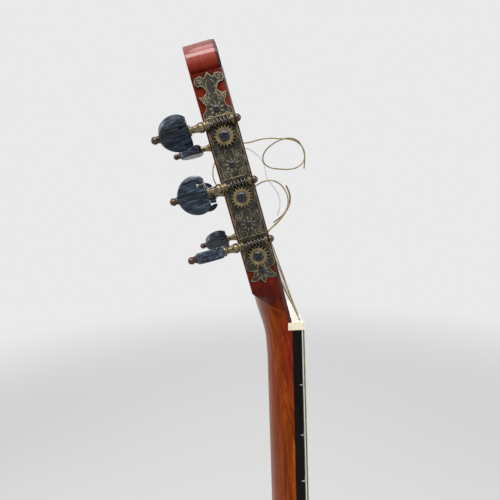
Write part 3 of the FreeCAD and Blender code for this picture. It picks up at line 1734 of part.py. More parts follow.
def button_part(name, post):
    """An ebony button with two keyhole slots, on the rear end of its shaft."""
    tag = f"{name}_{post}"
    body = new_body(f"button_{tag}_body")
    top = button_start()
    half = size("button_width") / 2
    flat = size("button_flat") / 2
    low = top - size("button_length")
    waist = low + half
    rise = top - waist
    cheek = (rise**2 + (half - flat) ** 2) / (2 * (half - flat))
    turn = math.asin(rise / cheek) / 2
    bend = (half - cheek + cheek * math.cos(turn), waist + cheek * math.sin(turn))
    steps = [
        ((flat, top),),
        (bend, (half, waist)),
        ((0, low), (-half, waist)),
        ((-bend[0], bend[1]), (-flat, top)),
    ]
    edge = flat_sketch(body, "XZ_Plane", f"button_{tag}_edge", curves((-flat, top), steps))
    padded = pad(body, edge, f"button_{tag}_pad", "sizes.button_thickness", middle=True)
    doc.recompute()
    rim = body.newObject("PartDesign::Chamfer", f"button_{tag}_rim")
    rim.Base = (padded, rim_edges(padded.Shape))
    rim.setExpression("Size", "sizes.button_edge")
    slits = []
    for side in (-1, 1):
        place = side * size("keyhole_spacing") / 2
        slit = size("keyhole_slit") / 2
        hole = size("keyhole_diameter") / 2
        deep = top - size("keyhole_depth")
        join = deep + math.sqrt(hole**2 - slit**2)
        open_end = top + size("overrun")
        steps = [
            ((place + slit, join),),
            ((place, deep - hole), (place - slit, join)),
            ((place - slit, open_end),),
        ]
        slits += curves((place + slit, open_end), steps)
    keyholes = flat_sketch(body, "XZ_Plane", f"button_{tag}_slits", slits)
    pocket(body, keyholes, f"button_{tag}_keyholes", "2 * sizes.button_thickness", middle=True)
    bore = circle_sketch(
        body, "XY_Plane", f"button_{tag}_bore", (0, 0), "worm_shaft_diameter", BUTTON_START
    )
    pocket(body, bore, f"button_{tag}_drill", "sizes.button_length")
    turned = Rotation(Vector(0, 0, 1), 360 * BUTTON_TURN_SHARES[(name, post)])
    body.Placement = worm_placement(name, post).multiply(Placement(Vector(0, 0, 0), turned))
    return keep(in_head(body), f"button_{tag}")


def rim_edges(shape):
    """The edges of the two large faces."""
    names = []
    limit = size("button_thickness") / 2
    for number, edge in enumerate(shape.Edges, start=1):
        box = edge.BoundBox
        off = min(abs(box.YMin - limit), abs(box.YMax + limit))
        if off < size("running_gap") and box.YLength < limit:
            names.append(f"Edge{number}")
    return names


def machine_parts():
    toothed = gear_solid()
    screw = round_screw("gear_screw")
    worm = worm_solid()
    for name in SIDES:
        for post in POSTS:
            roller_part(name, post)
            gear_part(name, post, toothed, screw)
            worm_part(name, post, worm)
            button_part(name, post)


# Loose ends of the strings, left long. Each has its gauge and the points of its route in the head's
# frame: out of its face, across and along it.
LOOSE_ENDS = {
    "string_end_bass_upper": (
        "gauge_four",
        [
            (-4, -19.2, 116.5),
            (0, -19.4, 115),
            (5, -19.6, 114),
            (11.5, -20, 114.2),
            (17.5, -20.5, 113.2),
            (23, -21, 111.2),
            (28.5, -21.5, 109.6),
            (33.5, -22, 106),
            (35.5, -22.5, 100.5),
            (34, -23, 94.5),
            (28.5, -24, 91.5),
            (22.5, -25, 92),
            (16.5, -26, 94),
            (12.5, -26.5, 95.5),
            (9, -27, 99),
            (9.5, -27.5, 103.5),
            (13, -27.5, 107),
            (19.5, -27, 109.5),
            (26.5, -26.5, 110),
            (32, -26, 107.5),
            (34.5, -25.5, 101.5),
            (34, -25, 95.5),
            (32, -24.5, 90),
        ],
    ),
    "string_end_bass_middle": (
        "gauge_five",
        [
            (-4.2, -20.2, 85.8),
            (-0.5, -20.3, 87.4),
            (4, -20.6, 89),
            (9, -21, 89.5),
            (13.5, -21.5, 88),
            (17, -22, 84),
            (19, -22, 77.5),
            (17.5, -21.5, 70.5),
            (12, -21, 65.5),
            (6, -20.5, 63.5),
        ],
    ),
    "string_end_bass_lower": (
        "gauge_six",
        [
            (-5.5, -22, 52.5),
            (-2, -21.8, 56.5),
            (2.5, -20.8, 60),
            (8.5, -18.8, 62.5),
            (14.5, -17, 66.5),
            (19.5, -16, 71.5),
            (21.5, -16, 78),
            (20, -16.5, 83.5),
        ],
    ),
    "string_end_treble_upper": (
        "gauge_three",
        [
            (-3.7, 20.2, 118.3),
            (0, 20.2, 118.6),
            (4, 19.6, 117.2),
            (8, 18.6, 113.6),
            (12, 17.5, 108),
            (14, 16.5, 100.5),
            (12.5, 16, 92.5),
            (16, 16.5, 85),
            (18.5, 17, 77),
            (16.5, 17, 69.5),
            (13, 17, 64.5),
        ],
    ),
    "string_end_rear": (
        "gauge_four",
        [
            (-13, -11.2, 114.9),
            (-16.2, -12, 112),
            (-19.5, -13, 108.5),
            (-21.8, -14, 104),
            (-22.6, -15, 99),
            (-21.5, -15.6, 94.5),
            (-18.8, -16, 91),
            (-15.2, -16.4, 89),
        ],
    ),
}


def loose_end_part(label):
    """The free end of a string, as a tube along its route."""
    gauge, places = LOOSE_ENDS[label]
    thick = size(gauge)
    points = [Vector(*place) for place in places]
    radii = free_radii(points)
    path = route_wire(points, radii)
    tube = swept(path, thick, STRING_CORNERS)
    area = STRING_CORNERS / 2 * math.sin(2 * math.pi / STRING_CORNERS) * (thick / 2) ** 2
    print(f"{label}: radii {min(radii):.1f} to {max(radii):.1f} mm, {thick} mm thick")
    print(f"{label}: volume over section times length {tube.Volume / (area * path.Length):.3f}")
    return keep(in_head(shaped(tube, label + "_tube")), label)


def build():
    soundboard_part()
    rosette_part()
    tap_plate_part()
    side_parts()
    back_part()
    bindings_part()
    foot, tail_block = blocks_inside()
    doc.recompute()
    linings_part(shaped(foot.Shape.copy(), "foot_stop"), shaped(tail_block.Shape.copy(), "tail_stop"))
    soundboard_braces_part()
    back_braces_part()
    blank = neck_blank(foot)
    neck, head = head_parts(blank)
    keep(neck, "neck")
    keep(head, "head")
    heel_cap_part()
    faceplate_part()
    fingerboard_part()
    frets_part()
    strings = strings_parts()
    grooved(nut_blank(), strings, "nut")
    grooved(bridge_blank(), strings, "bridge")
    grooved(saddle_blank(), strings, "saddle")
    for index in range(len(STRING_SHARES)):
        winding_part(index)
    plate_part("bass")
    plate_part("treble")
    plate_screws_part()
    machine_parts()
    for label in LOOSE_ENDS:
        loose_end_part(label)


def check_and_write():
    """Refuse a failed object or an invalid shape, then write one file for each sub-part."""
    doc.recompute()
    for thing in doc.Objects:
        if "Invalid" in thing.State or "Error" in thing.State:
            raise RuntimeError(f"{thing.Name} failed: {thing.State}")
    for part in parts:
        if part.Shape.isNull() or not part.Shape.isValid():
            raise RuntimeError(f"{part.Label} has no valid shape")
    os.makedirs("parts", exist_ok=True)
    for part in parts:
        part.Shape.exportStep(f"parts/{part.Label}.step")
    print(f"{len(parts)} sub-parts written")


build()
check_and_write()
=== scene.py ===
import bmesh
import bpy
import numpy as np
from mathutils import Matrix, Vector


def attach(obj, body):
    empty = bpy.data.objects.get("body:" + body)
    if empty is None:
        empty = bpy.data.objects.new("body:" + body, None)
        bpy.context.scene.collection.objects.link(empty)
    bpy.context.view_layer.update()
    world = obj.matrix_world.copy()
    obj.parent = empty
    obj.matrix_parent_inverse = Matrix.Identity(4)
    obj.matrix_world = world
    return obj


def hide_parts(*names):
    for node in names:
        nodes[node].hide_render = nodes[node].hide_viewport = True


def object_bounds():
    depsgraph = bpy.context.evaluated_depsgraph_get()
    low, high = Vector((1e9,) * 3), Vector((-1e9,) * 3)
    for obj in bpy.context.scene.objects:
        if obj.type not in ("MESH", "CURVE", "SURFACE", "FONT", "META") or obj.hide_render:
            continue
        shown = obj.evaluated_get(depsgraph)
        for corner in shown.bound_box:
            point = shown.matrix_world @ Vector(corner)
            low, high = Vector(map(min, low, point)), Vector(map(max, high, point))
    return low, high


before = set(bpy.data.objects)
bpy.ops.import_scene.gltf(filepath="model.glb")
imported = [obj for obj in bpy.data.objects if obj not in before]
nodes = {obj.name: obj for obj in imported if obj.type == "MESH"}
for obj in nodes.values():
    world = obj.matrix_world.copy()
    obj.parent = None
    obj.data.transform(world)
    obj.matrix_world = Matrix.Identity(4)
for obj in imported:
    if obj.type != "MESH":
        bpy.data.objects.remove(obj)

cad_low, cad_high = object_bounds()


# The room: a pale floor under the guitar and a camera on its bass side, close to the head.
# Soft cards of light stand above and behind the camera and, weaker, behind the neck.
class Field:
    """An output socket of a material's tree, which can be reckoned with like a number."""

    def __init__(self, tree, socket):
        self.tree, self.socket = tree, socket

    def node(self, kind, settings=None, values=None, out=0):
        """A new node: its settings first, then the numbers or fields of its inputs."""
        made = self.tree.nodes.new(kind)
        for name, value in (settings or {}).items():
            if name == "stops":
                ramp = made.color_ramp.elements
                ramp[0].position, ramp[0].color = value[0]
                ramp[1].position, ramp[1].color = value[-1]
                for place, colour in value[1:-1]:
                    ramp.new(place).color = colour
            else:
                setattr(made, name, value)
        for key, value in (values or {}).items():
            if isinstance(value, Field):
                self.tree.links.new(value.socket, made.inputs[key])
            else:
                made.inputs[key].default_value = value
        return Field(self.tree, made.outputs[out])

    def math(self, operation, *others):
        """The Math node's operation on this field and the others, in their order."""
        values = dict(enumerate((self,) + others))
        return self.node("ShaderNodeMath", {"operation": operation}, values)

    def __add__(self, other):
        return self.math("ADD", other)

    def __sub__(self, other):
        return self.math("SUBTRACT", other)

    def __rsub__(self, other):
        return (self * -1.0) + other

    def __mul__(self, other):
        return self.math("MULTIPLY", other)

    __radd__, __rmul__ = __add__, __mul__

    def __pow__(self, other):
        return self.math("POWER", other)

    def between(self, low, high):
        """0 up to low, 1 from high on, and a smooth rise between."""
        settings = {"interpolation_type": "SMOOTHSTEP"}
        return self.node("ShaderNodeMapRange", settings, {0: self, 1: low, 2: high})

    def tint(self, low, high):
        """The first colour where this field is 0, the second where it is 1."""
        return self.node("ShaderNodeMix", {"data_type": "RGBA"}, {0: self, 6: low, 7: high}, 2)

    def ramp(self, *stops):
        """A colour for each place from 0 to 1, as a ramp of painted stops."""
        settings = {"stops": [(place, paint(*colour)) for place, colour in stops]}
        return self.node("ShaderNodeValToRGB", settings, {0: self})

    def noise(self, detail=3.0, roughness=0.5):
        """Clouds about one unit wide plus finer ones, each layer weaker by the roughness."""
        values = {"Vector": self, "Scale": 1.0, "Detail": detail, "Roughness": roughness}
        return self.node("ShaderNodeTexNoise", {}, values)

    def laid(self, size, turn=(0, 0, 0), centre=(0, 0, 0)):
        """This place less the centre, turned back and divided by the size of a pattern."""
        values = {"Vector": self, "Location": centre, "Rotation": turn, "Scale": size}
        return self.node("ShaderNodeMapping", {"vector_type": "TEXTURE"}, values)

    def axis(self, name):
        """The X, Y or Z share of this vector."""
        return self.node("ShaderNodeSeparateXYZ", {}, {0: self}, name)


def paint(red, green, blue):
    """A colour as it shows on a screen, from 0 to 255, turned into the light that it sends."""
    shares = np.array([red, green, blue]) / 255
    light = np.where(shares > 0.04045, ((shares + 0.055) / 1.055) ** 2.4, shares / 12.92)
    return (*[float(x) for x in light], 1.0)


class Finish:
    """A surface finish: a Principled shader whose sockets take numbers or fields."""

    def __init__(self, name, **numbers):
        self.material = bpy.data.materials.new(name)
        self.material.use_nodes = True
        tree = self.material.node_tree
        tree.nodes.clear()
        self.shader = tree.nodes.new("ShaderNodeBsdfPrincipled")
        output = tree.nodes.new("ShaderNodeOutputMaterial")
        tree.links.new(self.shader.outputs[0], output.inputs[0])
        start = Field(tree, None)
        self.tree, self.output = tree, output
        self.place = start.node("ShaderNodeTexCoord", out="Object")
        for socket, value in numbers.items():
            self.set(socket.replace("_", " ").title().replace("Ior", "IOR"), value)

    def set(self, socket, value):
        """Give a socket of the shader a number, or what varies over the surface."""
        if isinstance(value, Field):
            self.tree.links.new(value.socket, self.shader.inputs[socket])
        else:
            self.shader.inputs[socket].default_value = value

    def rough(self, height, distance):
        """Raise the surface by a field, over a distance in metres."""
        values = {"Strength": 1.0, "Distance": distance, "Height": height}
        self.set("Normal", height.node("ShaderNodeBump", {}, values))

    def mark(self, name):
        """A number that each vertex of the piece carries."""
        return self.place.node("ShaderNodeAttribute", {"attribute_name": name}, out="Fac")


def stand(name, data):
    """An object of some data, put in the scene at the room's origin."""
    made = bpy.data.objects.new(name, data)
    bpy.context.scene.collection.objects.link(made)
    return made


def card(name, place, towards, size, power):
    """A soft rectangle of light whose -Z axis runs from its place towards a point."""
    lamp = bpy.data.lights.new(name, "AREA")
    lamp.shape, lamp.size, lamp.size_y = "RECTANGLE", *size
    lamp.energy = power
    aim = (Vector(towards) - Vector(place)).to_track_quat("-Z", "Y")
    stand(name, lamp).matrix_world = Matrix.Translation(place) @ aim.to_matrix().to_4x4()


camera = bpy.data.cameras.new("camera")
camera.sensor_width, camera.lens = 36, 26.74
camera.clip_start, camera.clip_end = 0.01, 60
camera_object = stand("camera", camera)
right, up = (0.99866, -0.03691, -0.03617), (0.04055, 0.12605, 0.99119)
back = (-0.03203, -0.99134, 0.12738)
turned_camera = Matrix((right, up, back)).transposed().to_4x4()
camera_object.matrix_world = Matrix.Translation((-0.03207, -0.25096, 0.08112)) @ turned_camera
bpy.context.scene.camera = camera_object
bpy.context.scene.view_settings.view_transform = "Standard"

HEAD_MIDDLE, NECK_MIDDLE = (-0.03, -0.03, 0.13), (0, 0, -0.2)
card("card_above", (-0.22, -0.98, 1.28), HEAD_MIDDLE, (2.0, 0.7), 22.0)
card("card_overhead", (-0.10, -0.25, 1.75), HEAD_MIDDLE, (1.4, 0.8), 7.0)
card("card_behind", (-1.25, 0.55, 0.45), HEAD_MIDDLE, (0.5, 1.1), 5.5)
card("card_front", (1.35, -0.35, 0.55), NECK_MIDDLE, (0.8, 1.1), 8.0)
card("card_treble", (0.1, 1.6, 0.6), NECK_MIDDLE, (1.0, 1.0), 7.0)

world = bpy.data.worlds.new("room")
bpy.context.scene.world = world
world.use_nodes = True
world.node_tree.nodes.clear()
rays = Field(world.node_tree, None)
sky_output = world.node_tree.nodes.new("ShaderNodeOutputWorld")


def seen_rays(start):
    """1 for rays that show the room itself: to the camera, in gloss and through clear parts."""
    path = start.node("ShaderNodeLightPath")
    outputs = path.socket.node.outputs
    seen = Field(start.tree, outputs["Is Camera Ray"])
    for name in ("Is Glossy Ray", "Is Transmission Ray"):
        seen = seen.math("MAXIMUM", Field(start.tree, outputs[name]))
    return seen


ROOM_COLOUR = (0.99, 0.99, 1.0, 1)
ROOM_LIGHT, ROOM_SEEN, FLOOR_SEEN = 0.55, 0.28, 0.1
room_strength = seen_rays(rays) * ROOM_SEEN + ROOM_LIGHT
sky = rays.node("ShaderNodeBackground", {}, {"Color": ROOM_COLOUR, "Strength": room_strength})
world.node_tree.links.new(sky.socket, sky_output.inputs[0])

floor_finish = Finish("pale_floor", base_color=paint(192, 192, 191), roughness=0.9)
ground = floor_finish.place
away = ground.node("ShaderNodeVectorMath", {"operation": "LENGTH"}, {0: ground}, "Value")
glow_strength = seen_rays(ground) * ROOM_SEEN + ROOM_LIGHT
glow = ground.node("ShaderNodeEmission", {}, {"Color": ROOM_COLOUR, "Strength": glow_strength})
near_strength = seen_rays(ground) * FLOOR_SEEN
near = ground.node("ShaderNodeEmission", {}, {"Color": ROOM_COLOUR, "Strength": near_strength})
shader = Field(ground.tree, floor_finish.shader.outputs[0])
lit = ground.node("ShaderNodeAddShader", {}, {0: shader, 1: near})
mixed = ground.node("ShaderNodeMixShader", {}, {0: away.between(1.1, 3.2), 1: lit, 2: glow})
ground.tree.links.new(mixed.socket, floor_finish.output.inputs[0])
FLOOR_REACH, FLOOR_GAP = 14.0, 0.0005
ring = np.linspace(0, 2 * np.pi, 97)[:-1]
level = np.full(len(ring), cad_low.z - FLOOR_GAP)
disc = np.stack([FLOOR_REACH * np.cos(ring), FLOOR_REACH * np.sin(ring), level], 1)
floor_mesh = bpy.data.meshes.new("floor")
floor_mesh.from_pydata(disc.tolist(), [], [list(range(len(disc)))])
floor_mesh.materials.append(floor_finish.material)
floor = stand("floor", floor_mesh)


# The neck: cedar, shaved to a flat oval, with its heel and the foot inside the body.
# It is lacquered orange-brown, with darker streaks along the grain.
HEAD_ORIGIN = np.array([-0.4, 0.0, 5.0])
HEAD_ALONG = np.array([-0.23514, 0.0, 0.97196])
HEAD_FACE = np.array([0.97196, 0.0, 0.23514])


def on_head(points):
    """Points given in front of, across and along the head in millimetres, put in the room: the
    head's origin plus each number times its direction."""
    depth, across, along = np.moveaxis(np.asarray(points, float), -1, 0)
    place = HEAD_ORIGIN + along[..., None] * HEAD_ALONG + depth[..., None] * HEAD_FACE
    place = place + np.stack([0 * across, across, 0 * across], -1)
    return place / 1000


def piece_of(name, mesh, finish, body, replaced, sharp):
    """An object of a mesh with its finish, body, material slot and the nodes that it stands for.
    It is shaded smooth, but for corners past the sharp angle in degrees."""
    mesh.materials.clear()
    mesh.materials.append(finish.material)
    mesh.shade_smooth()
    mesh.set_sharp_from_angle(angle=np.radians(sharp))
    piece = stand(name, mesh)
    if replaced:
        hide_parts(*replaced)
    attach(piece, body)
    return piece


def refined(node, name, finish, edge=0.0, steps=2, angle=32.0, body="guitar", top=None):
    """A merged copy of a CAD node. Faces that lie within 0.3 degrees are joined, corners past
    the angle are rounded by the edge in millimetres, and a top cuts it off along the head."""
    mesh = nodes[node].data.copy()
    shape = bmesh.new()
    shape.from_mesh(mesh)
    bmesh.ops.remove_doubles(shape, verts=shape.verts, dist=2e-6)
    bmesh.ops.dissolve_limit(
        shape, angle_limit=np.radians(0.3), verts=shape.verts, edges=shape.edges,
    )
    if top is not None:
        bmesh.ops.bisect_plane(
            shape, geom=shape.verts[:] + shape.edges[:] + shape.faces[:], clear_outer=True,
            plane_co=on_head((0, 0, top)), plane_no=HEAD_ALONG,
        )
        open_edges = [side for side in shape.edges if side.is_boundary]
        bmesh.ops.holes_fill(shape, edges=open_edges, sides=0)
    shape.to_mesh(mesh)
    shape.free()
    piece = piece_of(name, mesh, finish, body, [node], angle)
    if edge:
        rounding = piece.modifiers.new("edge", "BEVEL")
        rounding.width, rounding.segments = edge / 1000, steps
        rounding.limit_method, rounding.angle_limit = "ANGLE", np.radians(angle)
        rounding.harden_normals = True


def fibres(made, grain, turn):
    """Noise drawn out along the grain: broad streaks, streaks a fifth as wide, and thin pores."""
    grain = np.array(grain)
    streak = made.place.laid(tuple(grain), turn).noise(4.0, 0.6)
    fine = made.place.laid(tuple(grain * (0.22, 0.22, 0.5)), turn).noise(3.0, 0.65)
    pore = 1 - made.place.laid(tuple(grain * (0.09, 0.09, 0.3)), turn).noise(2.0)
    return streak, fine, pore.between(0.56, 0.7)


def stained(name, lean):
    """Cedar that is orange-brown on the neck and dark red on the head. Behind, the red ends on a
    sharp slanted line under the head's shoulder; in front it fades out towards the nut. The
    head's lower part is darkened by painted shade, the crest's lower swell is lightened by a
    painted highlight, and the notch under the crest is darkened by painted shade. The round
    back and the crest have the thickest lacquer. Heights are in millimetres."""
    made = Finish(name, roughness=0.4, specular_ior_level=0.04, coat_roughness=0.13, coat_ior=1.75)
    streak, fine, dent = fibres(made, (0.0026, 0.0026, 0.03), lean)
    made.rough(fine * 0.6 - dent * 0.8, 1.2e-5)
    hair = made.place.laid((0.0006, 0.0006, 0.015), lean).noise(3.0, 0.65)
    fibre = streak * 0.62 + hair * 0.38
    pore = 1 - made.place.laid((0.00025, 0.00025, 0.006), lean).noise(2.0)

    ahead, height = made.place.axis("X") * 1000, made.place.axis("Z") * 1000
    raised = made.place.laid((1, 1, 1), lean).axis("Z") * 1000
    rear = 1 - ahead.between(-12.0, -8.5)
    line = (height + ahead * 0.64 - 8.98).between(-0.5, 0.5)
    red = rear * line + (1 - rear) * height.between(-4.0, 44.0)
    flank = ahead.between(-12.0, -1.0) * height.between(-75.0, -10.0)
    red = red.math("MAXIMUM", flank * 0.85)
    back = (1 - ahead.between(-20.0, -11.0)) * (1 - height.between(20.0, 25.0))
    crown = raised.between(165.0, 170.0) * 0.8 - raised.between(175.5, 179.0) * 0.45
    made.set("Coat Weight", back * 0.7 + crown + 0.06)

    colour = red.tint(fibre.ramp(*NECK_COLOURS), fibre.ramp(*HEAD_COLOURS))
    # Painted shade: above the slanted line the head's lower part darkens towards deep brown-red,
    # more so behind.
    painted_low_shade = rear * (1 - height.between(20.0, 40.0)) + (1 - height.between(26.0, 56.0))
    colour = (line * painted_low_shade * 0.4).tint(colour, paint(46, 10, 4))
    colour = (pore.between(0.56, 0.68) * 0.5).tint(colour, paint(54, 14, 8))
    # Painted highlight: the crest's lower swell is lightened towards bright red, less so above 171
    # mm.
    painted_crest_light = raised.between(158.0, 168.0) * 0.28 - raised.between(171.0, 177.0) * 0.24
    colour = painted_crest_light.tint(colour, paint(206, 84, 66))
    # Painted shade: just above the notch the colour darkens to near black-red, the hollow's shade.
    notch = raised.between(155.7, 156.3) * (1 - raised.between(156.5, 165.0))
    made.set("Base Color", (notch * 0.75).tint(colour, paint(30, 6, 6)))
    return made


NECK_COLOURS = [
    (0.3, (76, 21, 0)), (0.44, (114, 42, 0)), (0.57, (140, 61, 0)), (0.7, (170, 92, 4)),
]
HEAD_COLOURS = [
    (0.28, (64, 12, 4)), (0.44, (104, 24, 8)), (0.58, (134, 38, 16)), (0.74, (166, 66, 32)),
]
neck_wood = stained("neck_cedar", (0.0, 0.0, 0.0))
refined("neck", "neck_wood", neck_wood, 0.5)


# The heel cap: a thin plate of rosewood, glued over the end of the heel and shaped with it. Its
# flat outer face takes the strap's button.
def wood(name, stops, grain, turn=(0, 0, 0), pores=0.25, raised=2e-5, **numbers):
    """A ramp of colours over 0.62 of broad and 0.38 of fine streaks, darkened in the pores."""
    made = Finish(name, **numbers)
    streak, fine, pore = fibres(made, grain, turn)
    tone = streak * 0.62 + fine * 0.38
    made.set("Base Color", (pore * pores).tint(tone.ramp(*stops), paint(*stops[0][1])))
    made.rough(fine * 0.6 - pore * 0.8, raised)
    return made


heel_wood = wood(
    "heel_rosewood", [(0.3, (28, 12, 8)), (0.5, (66, 30, 18)), (0.7, (100, 50, 30))],
    (0.0016, 0.02, 0.02), roughness=0.32, specular_ior_level=0.2, coat_weight=0.5,
    coat_roughness=0.1,
)
refined("heel_cap", "heel_cap_wood", heel_wood, 0.4)


# The head: the same cedar stained dark red and polished to a deep gloss, glued to the neck
# on a slanted joint. Above a notch its crest swells and closes in one arch.
HEAD_LEAN = (0.0, -0.23736, 0.0)
NOTCH = 155.9
head_wood = stained("head_cedar", HEAD_LEAN)
refined("head", "head_wood", head_wood, 0.7, 3, top=NOTCH)


def shell(name, finish, body, surfaces, replaced=(), sharp=35.0, marks=None):
    """One object from surfaces of points and faces, each numbered on from the last: doubles are
    merged and faces turned outwards. Marks are numbers that the points carry."""
    starts = np.cumsum([0] + [len(points) for points, _ in surfaces])
    points = np.concatenate([points for points, _ in surfaces])
    faces = [face for (_, own), start in zip(surfaces, starts) for face in (own + start).tolist()]
    mesh = bpy.data.meshes.new(name)
    mesh.from_pydata(points.tolist(), [], faces)
    for label, numbers in (marks or {}).items():
        mark = mesh.attributes.new(label, "FLOAT", "POINT")
        mark.data.foreach_set("value", numbers.astype(np.float32))
    shape = bmesh.new()
    shape.from_mesh(mesh)
    bmesh.ops.remove_doubles(shape, verts=shape.verts, dist=1e-7)
    bmesh.ops.recalc_face_normals(shape, faces=shape.faces)
    shape.to_mesh(mesh)
    shape.free()
    piece_of(name, mesh, finish, body, replaced, sharp)


def squares(number):
    """The four corners' numbers of each cell of a grid of numbered points, in turn."""
    return np.stack([number[:-1, :-1], number[:-1, 1:], number[1:, 1:], number[1:, :-1]], -1)


def lattice(points):
    """The points and four-sided faces of a grid whose last column meets its first."""
    rows, columns = points.shape[:2]
    number = np.arange(rows * columns).reshape(rows, columns)
    faces = squares(np.hstack([number, number[:, :1]]))
    return points.reshape(-1, 3), faces.reshape(-1, 4)


CREST_FOOT, CREST_WIDEST, CREST_TOP = 155.2, 163.5, 180.1
CREST_HALF, CREST_WAIST = 33, 4.4


def crest_edge():
    """The crest's closed edge, across and along. From the foot it swells by a parabola to its
    half width, then half an ellipse closes it at its top."""
    turn = np.linspace(0, np.pi / 2, 60)
    rise = CREST_TOP - CREST_WIDEST
    arch = np.stack([CREST_HALF * np.cos(turn), CREST_WIDEST + rise * np.sin(turn)], 1)
    climb = np.linspace(CREST_FOOT, CREST_WIDEST, 24)[:-1]
    share = (CREST_WIDEST - climb) / 7.6
    swell = np.stack([CREST_HALF - CREST_WAIST * share**2, climb], 1)
    half = np.concatenate([swell, arch])
    across = np.linspace(-half[0, 0], half[0, 0], 40)[1:-1]
    foot = np.stack([across, np.full(len(across), CREST_FOOT)], 1)
    return np.concatenate([half, half[-2::-1] * (-1, 1), foot])


def crest_block(rows):
    """The crest's edge carried through the wood: a depth and a share of its size in each row."""
    middle = np.array([0.0, 166.0])
    edge = crest_edge() - middle
    rows = np.array(rows)
    flat = middle + edge[None] * rows[:, 1, None, None]
    depth = np.repeat(rows[:, :1], len(edge), 1)
    return lattice(on_head(np.stack([depth, flat[..., 0], flat[..., 1]], -1)))


REAR_ROUND = [(-18.5, 0), (-18.5, 0.968), (-18.42, 0.98), (-18.15, 0.992), (-17.6, 1.0)]
shell("crest_wood", head_wood, "guitar",
      [crest_block(REAR_ROUND + [(-1.5, 1.0), (-1.5, 0)])], ["head"], 40.0)


# The faceplate: a thin sheet of nearly black wood glued over the head's face, polished with
# it, with the string slots and the crest cut through both.
face_wood = wood(
    "faceplate_wood", [(0.3, (36, 12, 11)), (0.5, (66, 26, 23)), (0.72, (104, 50, 43))],
    (0.0018, 0.0018, 0.05), HEAD_LEAN, roughness=0.3, specular_ior_level=0.12, coat_weight=0.5,
    coat_roughness=0.04,
)
refined("head_faceplate", "faceplate_wood", face_wood, 0.35, top=NOTCH)
FRONT_ROUND = [(-0.25, 1.0), (0.2, 0.994), (0.42, 0.985), (0.5, 0.972), (0.5, 0)]
shell("crest_face", face_wood, "guitar",
      [crest_block([(-1.5, 0), (-1.5, 1.0)] + FRONT_ROUND)], ["head_faceplate"], 40.0)


# The fingerboard: a flat board of ebony with a satin face and polished edges, glued to the
# neck and over the soundboard.
ebony = wood(
    "ebony", [(0.3, (3, 2, 3)), (0.55, (9, 7, 8)), (0.75, (30, 20, 18))],
    (0.0012, 0.0012, 0.03), roughness=0.34, specular_ior_level=0.06, coat_weight=0.1,
    coat_roughness=0.1, raised=1e-5,
)
refined("fingerboard", "fingerboard_ebony", ebony, 0.3)


# The frets: nickel-silver wire with a round crown, pressed into sawn slots and filed flush
# with the board's edges.
def metal(name, low, high, shine, **numbers):
    """A metal: clouds 3 mm wide give its colour, scratches 0.2 mm wide its roughness."""
    made = Finish(name, metallic=1.0, **numbers)
    cloud = made.place.laid((0.003,) * 3).noise(3.0)
    scratch = made.place.laid((0.0002, 0.0012, 0.0002)).noise(2.0)
    made.set("Base Color", cloud.ramp((0.32, low), (0.7, high)))
    made.set("Roughness", scratch * 0.16 + shine)
    made.rough(scratch, 0.000008)
    return made


fret_metal = metal("fret_metal", (150, 146, 134), (200, 196, 184), 0.2)
refined("frets", "fret_wires", fret_metal, 0.12)


# The nut and the saddle: two bars of bone, cream with faint brown veins, filed to the strings'
# heights and polished. The nut stands at the fingerboard's end, the saddle in the bridge.
bone_finish = Finish(
    "bone", roughness=0.3, subsurface_weight=0.12, subsurface_radius=(0.002, 0.0014, 0.001),
    subsurface_scale=1.0, coat_weight=0.4, coat_roughness=0.12,
)
vein = bone_finish.place.laid((0.002, 0.016, 0.003)).noise(3.0)
bone_colour = vein.ramp((0.3, (218, 204, 172)), (0.5, (232, 222, 194)), (0.7, (240, 232, 208)))
bone_finish.set("Base Color", bone_colour)
bone_finish.rough(vein, 0.00002)
refined("nut", "nut_bone", bone_finish, 0.35, 3)
refined("saddle", "saddle_bone", bone_finish, 0.25)


# The soundboard: book-matched spruce, straight fine growth lines along the strings, with a
# thin shellac polish, yellowed a little. The lines are a sine wave across both halves.
spruce = Finish("soundboard_spruce", roughness=0.38, coat_weight=0.5, coat_roughness=0.12)
line_wave = spruce.place.laid((1.0, 0.0016, 0.25)).noise(1.5, 0.4)
from_middle = spruce.place.axis("Y").math("ABSOLUTE")
growth = ((from_middle * 2600 + line_wave * 2.6).math("SINE") * 0.5 + 0.5) ** 2.0
cloudy = spruce.place.laid((0.05, 0.03, 0.16)).noise(3.0)
silk = spruce.place.laid((0.004, 0.012, 0.0016)).noise(2.0)
pale = (cloudy * 0.7 + silk * 0.3).ramp((0.3, (222, 178, 110)), (0.7, (240, 206, 146)))
spruce.set("Base Color", (growth * 0.42).tint(pale, paint(176, 122, 62)))
spruce.rough(growth, 0.000012)
refined("soundboard", "soundboard_spruce", spruce, 0.15, 1)


# The back and the two bent sides: pale yellow cypress with a soft brown figure along the
# length, glued to the linings and thinly polished.
CYPRESS_COLOURS = [
    (0.28, (184, 132, 66)), (0.48, (214, 168, 98)),
    (0.66, (230, 190, 124)), (0.76, (238, 204, 146)),
]


def cypress(name, grain):
    """Cypress with its streaks and pores drawn out by the given grain."""
    return wood(
        name, CYPRESS_COLOURS, grain, pores=0.12, raised=1e-5, roughness=0.34,
        coat_weight=0.6, coat_roughness=0.1,
    )


back_wood = cypress("back_cypress", (0.02, 0.0045, 0.11))
side_wood = cypress("side_cypress", (0.0045, 0.02, 0.09))
refined("back", "back_cypress", back_wood)
refined("side_bass", "side_cypress_bass", side_wood)
refined("side_treble", "side_cypress_treble", side_wood)


# The bindings: strips of rosewood bent round the body, let into the edges of its sides,
# scraped flush and polished.
binding_wood = wood(
    "binding_rosewood", [(0.3, (40, 18, 13)), (0.52, (84, 40, 26)), (0.72, (120, 66, 44))],
    (0.0012, 0.012, 0.03), roughness=0.3, coat_weight=0.7, coat_roughness=0.08,
)
refined("bindings", "binding_strips", binding_wood, 0.3)


